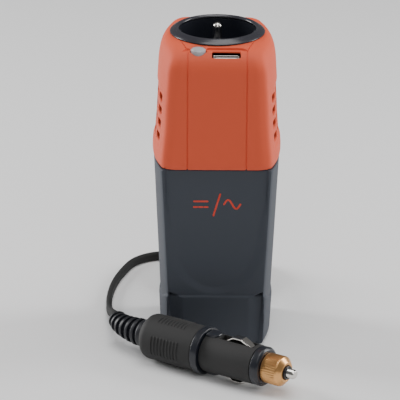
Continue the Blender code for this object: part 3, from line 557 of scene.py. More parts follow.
def carve(obj: bpy.types.Object, tool: bpy.types.Object, operation: str = "DIFFERENCE") -> bpy.types.Object:
    """Cuts a tool from an object, or joins it on.

    Args:
        obj: The object.
        tool: The tool, which is used up.
        operation: DIFFERENCE or UNION.

    Returns:
        The new object.
    """
    modifier = obj.modifiers.new("Carve", "BOOLEAN")
    modifier.operation = operation
    modifier.object = tool
    made = bake(obj)
    bpy.data.objects.remove(tool, do_unlink=True)
    return made


def fillet(corners: Sequence[Pair], radius: float, closed: bool = False, steps: int = 4) -> list[Pair]:
    """Rounds the corners of a profile.

    Args:
        corners: The profile's corners.
        radius: Largest rounding, limited by the sides that meet.
        closed: Whether the last corner joins the first.
        steps: Segments of each rounding.

    Returns:
        The rounded profile.
    """
    points = [np.array(corner, float) for corner in corners]
    count = len(points)
    rounded: list[Pair] = []
    for i, corner in enumerate(points):
        if not closed and i in (0, count - 1):
            rounded.append(tuple(corner))
            continue
        before, after = points[i - 1] - corner, points[(i + 1) % count] - corner
        trim = min(radius, 0.45 * np.linalg.norm(before), 0.45 * np.linalg.norm(after))
        start = corner + before / np.linalg.norm(before) * trim
        end = corner + after / np.linalg.norm(after) * trim
        for j in range(steps + 1):
            t = j / steps
            rounded.append(tuple((1 - t) ** 2 * start + 2 * t * (1 - t) * corner + t**2 * end))
    return rounded


def rectangle(left: float, low: float, right: float, high: float) -> list[Pair]:
    """Corners of a rectangle, in order round it."""
    return [(left, low), (right, low), (right, high), (left, high)]


def rod(radius: float, top: float, bottom: float) -> list[Pair]:
    """Profile of a plain solid rod, from its axis out and back."""
    return [(0.0, top), (radius, top), (radius, bottom), (0.0, bottom)]


def skin(rings: Sequence[np.ndarray], loop: bool = False) -> tuple[np.ndarray, Faces]:
    """Joins rings of equally many points.

    Args:
        rings: The rings, each closed round.
        loop: Joins the last ring to the first, in place of the two end caps.

    Returns:
        Points and faces.
    """
    count = len(rings[0])
    faces: Faces = []
    total = len(rings)
    for level in range(total if loop else total - 1):
        low, high = level * count, (level + 1) % total * count
        for i in range(count):
            j = (i + 1) % count
            faces.append((low + i, low + j, high + j, high + i))
    if not loop:
        faces.append(tuple(range(count - 1, -1, -1)))
        faces.append(tuple(range((total - 1) * count, total * count)))
    return np.concatenate([np.asarray(ring, float) for ring in rings]), faces


def loft(name: str, rings: Sequence[np.ndarray], look: Look, sharp: float = 32.0) -> bpy.types.Object:
    """Makes a capped piece from rings of equally many points."""
    return make_piece(name, *skin(rings), look, sharp)


@dataclass(frozen=True)
class Axis:
    """A local frame: where it starts, which way it runs and which way is its first side."""

    origin: Triple = (0.0, 0.0, 0.0)
    along: Triple = (0.0, 0.0, 1.0)
    side: Triple = (1.0, 0.0, 0.0)

    def matrix(self) -> Matrix:
        """Gives the matrix from local millimetres (side, other, along) to the frame."""
        along = Vector(self.along).normalized()
        side = Vector(self.side).normalized()
        other = along.cross(side)
        turn = Matrix((side, other, along)).transposed().to_4x4()
        return Matrix.Translation(self.origin) @ turn

    def place(self, points: Sequence) -> np.ndarray:
        """Moves local points into the frame.

        Args:
            points: Points as (side, other, along).

        Returns:
            The points in the frame, in millimetres.
        """
        matrix = np.array(self.matrix())
        return np.asarray(points, float) @ matrix[:3, :3].T + matrix[:3, 3]


def lathe(
    name: str, profile: Sequence[Pair], look: Look, axis: Axis = Axis(), steps: int = 96
) -> bpy.types.Object:
    """Turns a profile about an axis.

    Args:
        name: Name of the piece.
        profile: Points as (radius, height). A ring's profile is closed, a solid's ends on the axis.
        look: Its finish.
        axis: Axis that it is turned about.
        steps: Points round it.

    Returns:
        The piece.
    """
    angles = [math.tau * i / steps for i in range(steps)]
    rings = []
    for radius, height in profile:
        rings.append(np.array([(radius * math.cos(a), radius * math.sin(a), height) for a in angles]))
    solid = profile[0][0] == 0.0 and profile[-1][0] == 0.0
    points, faces = skin(rings, loop=not solid)
    if solid:
        faces = faces[:-2]
    return make_piece(name, axis.place(points), faces, look)


def sweep(name: str, path: Sequence[Triple], section: Sequence[Pair], look: Look) -> bpy.types.Object:
    """Carries a flat section along a path, its second axis held as near to upright as it can be.

    Args:
        name: Name of the piece.
        path: Points of the path.
        section: Closed outline as (sideways, upwards).
        look: Its finish.

    Returns:
        The piece, closed at both ends.
    """
    points = np.array(path, float)
    tangents = np.gradient(points, axis=0)
    tangents /= np.linalg.norm(tangents, axis=1)[:, None]
    rings = []
    for point, tangent in zip(points, tangents):
        side = np.cross(tangent, (0.0, 0.0, 1.0))
        side /= np.linalg.norm(side)
        lift = np.cross(side, tangent)
        rings.append(np.array([point + a * side + b * lift for a, b in section]))
    return loft(name, rings, look, sharp=50.0)


def soften(line: np.ndarray, places: np.ndarray, radius: float, closed: bool) -> np.ndarray:
    """Reads a rounded version of a broken line.

    Args:
        line: Corners of the line, one row each.
        places: Distances along it to read at.
        radius: Half of the stretch that each reading averages.
        closed: Whether the line closes on itself.

    Returns:
        One row for each place.
    """
    if closed:
        line = np.vstack([line, line[:1]])
    steps = np.linalg.norm(np.diff(line, axis=0), axis=1)
    marks = np.concatenate([[0.0], np.cumsum(steps)])
    total = marks[-1]
    offsets = np.linspace(-radius, radius, 15)
    weights = np.cos(offsets / radius * math.pi / 2) if radius else np.ones(15)
    result = np.zeros((len(places), line.shape[1]))
    for offset, weight in zip(offsets, weights):
        at = places + offset
        at = np.mod(at, total) if closed else np.clip(at, 0.0, total)
        for column in range(line.shape[1]):
            result[:, column] += weight * np.interp(at, marks, line[:, column])
    return result / weights.sum()


def smooth_route(route: Sequence[Triple], step: float) -> np.ndarray:
    """Samples a smooth curve through points.

    Args:
        route: Points that the curve passes.
        step: Spacing of the samples.

    Returns:
        The samples, one row each.
    """
    knots = np.array(route, float)
    knots = np.vstack([2 * knots[0] - knots[1], knots, 2 * knots[-1] - knots[-2]])
    fine = []
    for a, b, c, d in zip(knots, knots[1:], knots[2:], knots[3:]):
        for t in np.linspace(0, 1, 24, endpoint=False):
            square, cube = 2 * a - 5 * b + 4 * c - d, 3 * b - a - 3 * c + d
            fine.append(0.5 * (2 * b + (c - a) * t + square * t**2 + cube * t**3))
    fine.append(knots[-2])
    line = np.array(fine)
    length = np.concatenate([[0.0], np.cumsum(np.linalg.norm(np.diff(line, axis=0), axis=1))])
    at = np.linspace(0, length[-1], max(2, round(length[-1] / step)))
    return np.column_stack([np.interp(at, length, line[:, i]) for i in range(3)])


def smoothstep(value, low: float, high: float):
    """Rises from 0 at low to 1 at high with no corners."""
    t = np.clip((np.asarray(value, float) - low) / (high - low), 0.0, 1.0)
    return t * t * (3 - 2 * t)


# --- Repeats, by Geometry Nodes ---------------------------------------------------------


class Repeat:
    """A Geometry Nodes tree that puts copies of one mesh on points, realised and finished."""

    def __init__(self, name: str, sockets: dict[str, str]) -> None:
        """Starts the tree.

        Args:
            name: Name of the tree.
            sockets: Each input's name and socket type, after Piece and Finish.
        """
        self.tree = bpy.data.node_groups.new(name, "GeometryNodeTree")
        self.ids: dict[str, str] = {}
        wanted = {"Piece": "NodeSocketObject", "Finish": "NodeSocketMaterial", **sockets}
        for label, kind in wanted.items():
            socket = self.tree.interface.new_socket(label, in_out="INPUT", socket_type=kind)
            self.ids[label] = socket.identifier
        self.tree.interface.new_socket("Geometry", in_out="OUTPUT", socket_type="NodeSocketGeometry")
        self.start = self.add("NodeGroupInput")

    def add(self, kind: str, links: Optional[dict] = None, **settings) -> bpy.types.Node:
        """Adds a node to the tree and gives it back."""
        return add_node(self.tree, kind, links, **settings)

    def finish(self, points: bpy.types.NodeSocket, rotation, scale=None) -> None:
        """Ends the tree: copies on points, realised, with their material.

        Args:
            points: Geometry to put the copies on.
            rotation: Socket with each copy's rotation.
            scale: Optional socket with each copy's scale.
        """
        source = self.add("GeometryNodeObjectInfo", {"Object": self.start.outputs["Piece"]})
        links = {"Points": points, "Instance": source.outputs["Geometry"], "Rotation": rotation}
        if scale is not None:
            links["Scale"] = scale
        copies = self.add("GeometryNodeInstanceOnPoints", links)
        real = self.add("GeometryNodeRealizeInstances", {"Geometry": copies.outputs[0]})
        dressed = self.add(
            "GeometryNodeSetMaterial", {"Geometry": real.outputs[0], "Material": self.start.outputs["Finish"]}
        )
        self.add("NodeGroupOutput", {"Geometry": dressed.outputs[0]})

    def run(self, name: str, piece: bpy.types.Object, look: Look, values: dict) -> bpy.types.Object:
        """Runs the tree and keeps the result as a plain mesh.

        Args:
            name: Name of the new piece.
            piece: Mesh to repeat, which is used up.
            look: Finish of the copies.
            values: Values of the tree's own inputs.

        Returns:
            The new piece.
        """
        holder = bpy.data.objects.new(name, bpy.data.meshes.new(name))
        bpy.context.scene.collection.objects.link(holder)
        modifier = holder.modifiers.new("Repeat", "NODES")
        modifier.node_group = self.tree
        for label, value in {"Piece": piece, "Finish": look.material(), **values}.items():
            modifier[self.ids[label]] = value
        made = bake(holder)
        bpy.data.objects.remove(piece, do_unlink=True)
        settle(made)
        return made


def ring_repeat() -> Repeat:
    """Copies turned evenly about Z."""
    sockets = {"Count": "NodeSocketInt", "Sweep": "NodeSocketFloat", "Start": "NodeSocketFloat"}
    repeat = Repeat("Ring of copies", sockets)
    index = repeat.add("GeometryNodeInputIndex").outputs[0]
    count = repeat.start.outputs["Count"]
    share = maths(repeat.tree, "DIVIDE", index, count)
    turn = maths(repeat.tree, "MULTIPLY", share, repeat.start.outputs["Sweep"])
    angle = maths(repeat.tree, "ADD", turn, repeat.start.outputs["Start"])
    rotation = repeat.add("ShaderNodeCombineXYZ", {"Z": angle})
    points = repeat.add("GeometryNodeMeshLine", {"Count": count, "Offset": (0.0, 0.0, 0.0)})
    repeat.finish(points.outputs[0], rotation.outputs[0])
    return repeat


def row_repeat() -> Repeat:
    """Copies in a straight row."""
    repeat = Repeat("Row of copies", {"Count": "NodeSocketInt", "Step": "NodeSocketVector"})
    links = {"Count": repeat.start.outputs["Count"], "Offset": repeat.start.outputs["Step"]}
    points = repeat.add("GeometryNodeMeshLine", links)
    still = repeat.add("ShaderNodeCombineXYZ")
    repeat.finish(points.outputs[0], still.outputs[0])
    return repeat


def path_repeat() -> Repeat:
    """Copies square to a path, their size changing evenly along it."""
    sockets = {"Path": "NodeSocketObject", "Count": "NodeSocketInt"}
    sockets |= {"First": "NodeSocketFloat", "Last": "NodeSocketFloat"}
    repeat = Repeat("Copies on a path", sockets)
    source = repeat.add("GeometryNodeObjectInfo", {"Object": repeat.start.outputs["Path"]})
    count = repeat.start.outputs["Count"]
    links = {"Curve": source.outputs["Geometry"], "Count": count}
    points = repeat.add("GeometryNodeCurveToPoints", links, mode="COUNT")
    index = repeat.add("GeometryNodeInputIndex").outputs[0]
    share = maths(repeat.tree, "DIVIDE", index, maths(repeat.tree, "SUBTRACT", count, 1.0))
    first, last = repeat.start.outputs["First"], repeat.start.outputs["Last"]
    size = repeat.add("ShaderNodeMapRange", {"Value": share, "To Min": first, "To Max": last})
    repeat.finish(points.outputs["Points"], points.outputs["Rotation"], size.outputs[0])
    return repeat


def path_object(name: str, points: Sequence[Triple]) -> bpy.types.Object:
    """Makes a bare curve through millimetre points, for a repeat to follow."""
    curve = bpy.data.curves.new(name, "CURVE")
    curve.dimensions = "3D"
    spline = curve.splines.new("POLY")
    spline.points.add(len(points) - 1)
    for target, point in zip(spline.points, points):
        target.co = (*(float(c) * MM for c in point), 1.0)
    obj = bpy.data.objects.new(name, curve)
    bpy.context.scene.collection.objects.link(obj)
    return obj


def join(name: str, pieces: Sequence[bpy.types.Object], sharp: float = 32.0) -> bpy.types.Object:
    """Puts several meshes in one object, as separate shells.

    Args:
        name: Name of the result.
        pieces: Meshes to join, which are used up.
        sharp: Edges above this angle, in degrees, stay sharp.

    Returns:
        The object.
    """
    shape = bmesh.new()
    look = pieces[0].data.materials[0]
    for piece in pieces:
        shape.from_mesh(piece.data)
        bpy.data.objects.remove(piece, do_unlink=True)
    mesh = bpy.data.meshes.new(name)
    shape.to_mesh(mesh)
    shape.free()
    mesh.materials.append(look)
    obj = bpy.data.objects.new(name, mesh)
    bpy.context.scene.collection.objects.link(obj)
    mesh.shade_smooth()
    mesh.set_sharp_from_angle(angle=math.radians(sharp))
    return obj


def publish(obj: bpy.types.Object, body: str, slot: str, *nodes: str) -> bpy.types.Object:
    """Hands a finished piece to the frame.

    Args:
        obj: The piece.
        body: Body that it rides on.
        slot: Not used.
        nodes: Frame nodes that it stands for.

    Returns:
        The piece.
    """
    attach(obj, body)
    if nodes:
        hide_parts(*nodes)
    LOG.info("%s rides on %s, %d faces", obj.name, body, len(obj.data.polygons))
    return obj


# --- Plan of the housing ----------------------------------------------------------------


@dataclass(frozen=True)
class Plan:
    """Outline of the housing at one height: flat front and back, cut corners, bowed sides."""

    half_width: float
    front: float
    back: float
    corner: float
    bow: float
    cut: float = 2.0

    def sides(self) -> list[np.ndarray]:
        """Gives the outline's eight stretches.

        Returns:
            Front, corner, right side, corner, back, corner, left side and corner, each from its
            start up to the next one's start.
        """
        flat = self.half_width - self.corner
        right = np.vstack([self._quarter(self.front) * (1, -1), self._quarter(self.back)[::-1][1:]])
        front = np.array([(-flat, -self.front), (flat, -self.front)])
        back = np.array([(flat, self.back), (-flat, self.back)])
        left = right[::-1] * (-1, 1)
        return [
            front,
            np.array([front[1], right[0]]),
            right,
            np.array([right[-1], back[0]]),
            back,
            np.array([back[1], left[0]]),
            left,
            np.array([left[-1], front[0]]),
        ]

    def _quarter(self, depth: float) -> np.ndarray:
        """A side's arc from the corner to the middle, as (x, distance from the middle)."""
        reach = depth - self.cut
        radius = (reach**2 + self.bow**2) / (2 * self.bow)
        angles = math.asin(reach / radius) * np.linspace(1, 0, 13)
        return np.column_stack([self.half_width - radius + radius * np.cos(angles), radius * np.sin(angles)])

    def ring(self, columns: "Columns", softness: float) -> np.ndarray:
        """Reads the outline at the grid's columns.

        Args:
            columns: Where each column stands.
            softness: Rounding of the corners.

        Returns:
            One (x, y) row for each column.
        """
        stretches = self.sides()
        line = np.vstack([stretch[:-1] for stretch in stretches])
        starts, lengths, total = [], [], 0.0
        for stretch in stretches:
            length = float(np.linalg.norm(np.diff(stretch, axis=0), axis=1).sum())
            starts.append(total)
            lengths.append(length)
            total += length
        flat = self.half_width - self.corner
        places = []
        for stretch, value in columns.places:
            if stretch == 0:
                reach = value if abs(value) <= columns.fixed else math.copysign(
                    columns.fixed + (abs(value) - columns.fixed) * (flat - columns.fixed), value
                )
                places.append(reach + flat)
            else:
                places.append(starts[stretch] + value * lengths[stretch])
        return soften(line, np.array(places), softness, closed=True)


@dataclass(frozen=True)
class Columns:
    """Upright grid lines of a housing skin.

    On the front, a value up to fixed is a distance from the middle, and fixed + 1 is the end of
    the flat. On the other stretches it is a share of the stretch.
    """

    fixed: float
    front: tuple[float, ...]
    corner: int = 5
    side: int = 64
    back: int = 48

    @property
    def places(self) -> list[tuple[int, float]]:
        """Stretch and value of each column, in order."""
        half = sorted(value for value in self.front if value > 0)
        front = [-v for v in reversed(half)] + [0.0] + half
        found = [(0, value) for value in front]
        counts = [self.corner, self.side, self.corner, self.back, self.corner, self.side, self.corner]
        for stretch, count in enumerate(counts, 1):
            found += [(stretch, i / count) for i in range(count) if (stretch, i) != (1, 0)]
        return found


def outward(grid: np.ndarray) -> np.ndarray:
    """Normals of a grid of points, by its neighbours.

    Args:
        grid: Points as (level, column, 3), closed round the columns.

    Returns:
        Unit normals of the same shape.
    """
    across = np.roll(grid, -1, axis=1) - np.roll(grid, 1, axis=1)
    upward = np.gradient(grid, axis=0)
    normals = np.cross(across, upward)
    return normals / np.maximum(np.linalg.norm(normals, axis=2, keepdims=True), 1e-9)


# --- Top cover --------------------------------------------------------------------------


@dataclass
class TopCover:
    """Orange cover: bowed, vented sides, a seamed front band, and a deck that slopes forwards."""

    half_width: float = 33.5
    half_depth: float = 33.3
    wall: float = 1.8
    socket_y: float = 5.5
    hole: float = 22.9
    bow: float = 5.3
    softness: float = 2.6
    ring_front: float = -19.25
    slope: float = math.tan(math.radians(13))
    seam_x: float = 15.2
    seam_half: float = 0.26
    seam_depth: float = 0.55
    vent_rows: int = 4
    vent_columns: int = 4
    vent_size: Pair = (8.0, 4.0)
    vent_pitch: Pair = (11.2, 7.0)
    vent_first: float = 13.8
    vent_zone: tuple[float, float, float] = (8.7, 40.7, 24.5)
    vent_recess: float = 0.6
    shelf: tuple[float, float, float] = (-1.0, 17.1, -20.9)
    shelf_z: float = SHELF_Z
    shelf_front: float = -36.0
    button: tuple[float, float, float] = (-9.9, -23.2, 4.2)
    port: tuple[float, float, float, float] = (4.5, -25.6, 7.35, 2.65)
    # height under the deck; inset at the side, front and back; share of the slope; corner
    profile: tuple = (
        (62.7, 0.7, 0.7, 0.7, 0.0, 10.3),
        (62.3, 0.15, 0.15, 0.15, 0.0, 10.3),
        (61.5, 0.0, 0.0, 0.0, 0.0, 10.3),
        (57.0, 0.0, 0.1, 0.1, 0.0, 10.3),
        (50.0, 0.75, 0.5, 0.6, 0.0, 10.3),
        (40.0, 1.55, 1.0, 1.2, 0.0, 10.3),
        (28.0, 2.10, 1.3, 1.6, 0.0, 10.3),
        (19.0, 2.60, 1.6, 1.8, 0.0, 10.2),
        (11.0, 3.05, 1.9, 1.9, 0.0, 10.0),
        (7.4, 3.5, 2.3, 1.9, 0.35, 9.6),
        (4.4, 4.2, 3.2, 2.0, 0.7, 9.2),
        (2.2, 5.2, 4.4, 2.1, 0.9, 8.8),
        (0.7, 6.4, 6.2, 2.3, 1.0, 8.4),
        (0.0, 8.2, 8.6, 2.8, 1.0, 8.0),
    )
    band_angle: float = math.radians(84)
    grid: np.ndarray = field(init=False)

    def __post_init__(self) -> None:
        """Reads the deck and the parting plane from the frame."""
        low, high = node_box("top_cover")
        self.base_z = float(low[2])
        self.deck_z = float(high[2])

    def columns(self) -> Columns:
        """Grid columns, close together at the two seams."""
        edge = 16.4
        seam = [self.seam_x + offset for offset in (-1.2, -0.6, -0.34, -0.26, 0.0, 0.26, 0.34, 0.6)]
        spread = [self.seam_x * share for share in np.linspace(0, 0.9, 13)]
        beyond = [edge + share for share in (0.0, 0.2, 0.4, 0.6, 0.8, 1.0)]
        return Columns(fixed=edge, front=tuple(sorted(set(spread + seam + beyond))))

    def deck_drop(self, y: np.ndarray) -> np.ndarray:
        """How far the deck has come down at this depth, with a soft bend in front of the ring."""
        bend = 1.3
        return self.slope * bend * np.logaddexp(0.0, (self.ring_front - y) / bend)

    def section(self, entry: np.ndarray, columns: Columns, shrink: float = 0.0) -> np.ndarray:
        """One ring of the skin.

        Args:
            entry: Values read from the profile.
            columns: Grid columns.
            shrink: Extra inset, for the inner wall.

        Returns:
            The ring's points.
        """
        below, side, front, back, share, corner = entry
        width = self.half_width - side - shrink
        depths = (self.half_depth - front - shrink, self.half_depth - back - shrink)
        flat = Plan(width, *depths, corner, self.bow).ring(columns, self.softness)
        height = self.deck_z - below - share * self.deck_drop(flat[:, 1])
        return np.column_stack([flat, height])

    def skin_levels(self, count: int) -> np.ndarray:
        """Reads the rounded profile at even steps.

        Args:
            count: Number of levels.

        Returns:
            One row of profile values for each level.
        """
        line = np.array(self.profile)
        lengths = np.linalg.norm(np.diff(line[:, :4], axis=0), axis=1)
        marks = np.concatenate([[0.0], np.cumsum(lengths)])
        even = np.linspace(0, marks[-1], count)
        lower = np.array([0.0, marks[1] * 0.5, marks[1], marks[2]])
        places = np.unique(np.concatenate([lower, even[even > marks[2]]]))
        soft = np.zeros((len(places), line.shape[1]))
        for i, place in enumerate(places):
            reach = min(1.9, place, marks[-1] - place)
            offsets = np.linspace(-reach, reach, 9) if reach > 0 else np.zeros(1)
            for column in range(line.shape[1]):
                soft[i, column] = np.interp(place + offsets, marks, line[:, column]).mean()
        return soft

    def deck_rings(self, edge: np.ndarray, columns: Columns) -> list[np.ndarray]:
        """Carries the skin from the shoulder in to the socket's hole.

        Args:
            edge: The last ring of the shoulder.
            columns: Grid columns.

        Returns:
            The rings, the last one round.
        """
        count, gather = 10, 0.85
        targets = []
        others = [i for i, (stretch, _) in enumerate(columns.places) if stretch != 0]
        band = [i for i, (stretch, _) in enumerate(columns.places) if stretch == 0]
        angles = np.zeros(len(edge))
        for i in band:
            angles[i] = -math.pi / 2 + np.clip(edge[i, 0] / self.seam_x, -1.12, 1.12) * self.band_angle
        first, last = angles[band[-1]], angles[band[0]] + math.tau
        walked = np.concatenate([[0.0], np.cumsum(np.linalg.norm(np.diff(edge[others], axis=0), axis=1))])
        for i, share in zip(others, (walked + 1.0) / (walked[-1] + 2.0)):
            angles[i] = first + share * (last - first)
        circle = np.column_stack([self.hole * np.cos(angles), self.socket_y + self.hole * np.sin(angles)])
        for step in range(1, count + 1):
            t = (step / count) ** gather
            flat = edge[:, :2] * (1 - t) + circle * t
            height = self.deck_z - self.deck_drop(flat[:, 1])
            targets.append(np.column_stack([flat, height]))
        return targets

    def side_point(self, y: float, z: float) -> tuple[np.ndarray, np.ndarray]:
        """Finds the right side's surface.

        Args:
            y: Depth.
            z: Height.

        Returns:
            The point and its outward normal.
        """
        normals = outward(self.grid)
        right = self.grid[:, :, 0] > 20.0
        distance = (self.grid[:, :, 1] - y) ** 2 + (self.grid[:, :, 2] - z) ** 2 + np.where(right, 0.0, 1e6)
        nearest = np.unravel_index(np.argsort(distance, axis=None)[:6], distance.shape)
        weights = 1 / (distance[nearest] + 0.05)
        point = (self.grid[nearest] * weights[:, None]).sum(axis=0) / weights.sum()
        normal = (normals[nearest] * weights[:, None]).sum(axis=0)
        return np.array([point[0], y, z]), normal / np.linalg.norm(normal)

    def vent_tool(self) -> bpy.types.Object:
        """Cutter for every vent: rounded slots with a small lead-in, square to the skin."""
        pieces = []
        layers = ((1.6, 1.4), (0.0, 0.30), (-0.35, 0.0), (-4.2, 0.0))
        length, height = self.vent_size
        for row in range(self.vent_rows):
            z = self.base_z - 0.3 + self.vent_first + row * self.vent_pitch[1]
            for column in range(self.vent_columns):
                y = (column - (self.vent_columns - 1) / 2) * self.vent_pitch[0]
                centre, normal = self.side_point(y, z)
                along = np.cross((0.0, 0.0, 1.0), normal)
                rings = []
                for depth, grow in layers:
                    half = (length / 2 + grow, height / 2 + grow)
                    corners = rectangle(-half[0], -half[1], half[0], half[1])
                    outline = fillet(corners, 1.1 + grow, closed=True, steps=3)
                    start = centre + normal * depth
                    rings.append(np.array([start + a * along + np.array((0, 0, b)) for a, b in outline]))
                points, faces = skin(rings)
                for side in (1.0, -1.0):
                    name = f"vent_{row}_{column}_{side:.0f}"
                    pieces.append(make_piece(name, points * (side, 1.0, 1.0), faces, Look.COVER))
        return join("vent_tool", pieces)

    def deck_tools(self) -> list[bpy.types.Object]:
        """Cutters for the shelf, the button's hole and the port's slot."""
        centre, half, top = self.shelf
        arch = fillet(rectangle(centre - half, self.shelf_front, centre + half, top), 6.0, True, 8)
        levels = ((self.shelf_z, 0.0), (self.shelf_z + 0.2, 0.05), (self.deck_z + 3.0, 0.35))
        rings = []
        for z, grow in levels:
            wider = 1 + grow / half
            ring = [(centre + (x - centre) * wider, y + (grow if y > -30 else 0.0), z) for x, y in arch]
            rings.append(np.array(ring))
        tools = [loft("shelf_tool", rings, Look.COVER)]
        x, y, radius = self.button
        above, edge, below = self.shelf_z + 2.0, self.shelf_z - 0.3, self.shelf_z - 6.0
        lead = [(0.0, above), (radius + 2.3, above), (radius, edge), (radius, below), (0.0, below)]
        tools.append(lathe("button_tool", lead, Look.COVER, Axis((x, y, 0.0)), 64))
        x, y, wide, deep = self.port
        rings = []
        for z, grow in ((above, 2.3), (edge, 0.0), (below, 0.0)):
            corners = rectangle(-wide - grow, -deep - grow, wide + grow, deep + grow)
            rings.append(np.array([(x + a, y + b, z) for a, b in fillet(corners, 0.8 + grow, True, 4)]))
        tools.append(loft("port_tool", rings, Look.COVER))
        return tools

    def build(self) -> bpy.types.Object:
        """Makes the cover.

        Returns:
            The cover, in place of its frame node.
        """
        columns = self.columns()
        levels = self.skin_levels(96)
        rings = [self.section(entry, columns) for entry in levels]
        rings += self.deck_rings(rings[-1], columns)
        grid = np.array(rings)
        normals = outward(grid)
        zone_low, zone_high, zone_y = self.vent_zone
        height = grid[:, :, 2] - self.base_z
        on_side = smoothstep(np.abs(normals[:, :, 0]), 0.80, 0.93)
        in_zone = smoothstep(height, zone_low, zone_low + 1.4)
        in_zone *= 1 - smoothstep(height, zone_high - 1.4, zone_high)
        in_zone *= (1 - smoothstep(np.abs(grid[:, :, 1]), zone_y - 1.5, zone_y)) * on_side
        grid -= normals * (in_zone * self.vent_recess)[:, :, None]
        places = np.array([value if stretch == 0 else 99.0 for stretch, value in columns.places])
        in_seam = np.abs(np.abs(places) - self.seam_x) < self.seam_half + 0.02
        depth = np.where(in_seam, self.seam_depth, 0.0)
        grid -= normals * depth[None, :, None]
        self.grid = grid[: len(levels)]
        inner_levels = [entry for entry in levels[::6] if entry[0] > 1.0]
        inner = [self.section(entry, columns, self.wall) for entry in inner_levels]
        last = grid[-1].copy()
        last[:, 2] -= self.wall
        middle = inner[-1] * 0.5 + last * 0.5
        middle[:, 2] = last[:, 2] - self.deck_drop(middle[:, 1]) * 0.5
        points, faces = skin(list(grid) + [last, middle] + inner[::-1], loop=True)
        cover = make_piece("cover_shell", points, faces, Look.COVER, sharp=28.0)
        for tool in [self.vent_tool(), *self.deck_tools()]:
            cover = carve(cover, tool)
        settle(cover, 28.0)
        return publish(cover, "housing", "cover_orange", "top_cover")


# --- Lower housing ----------------------------------------------------------------------


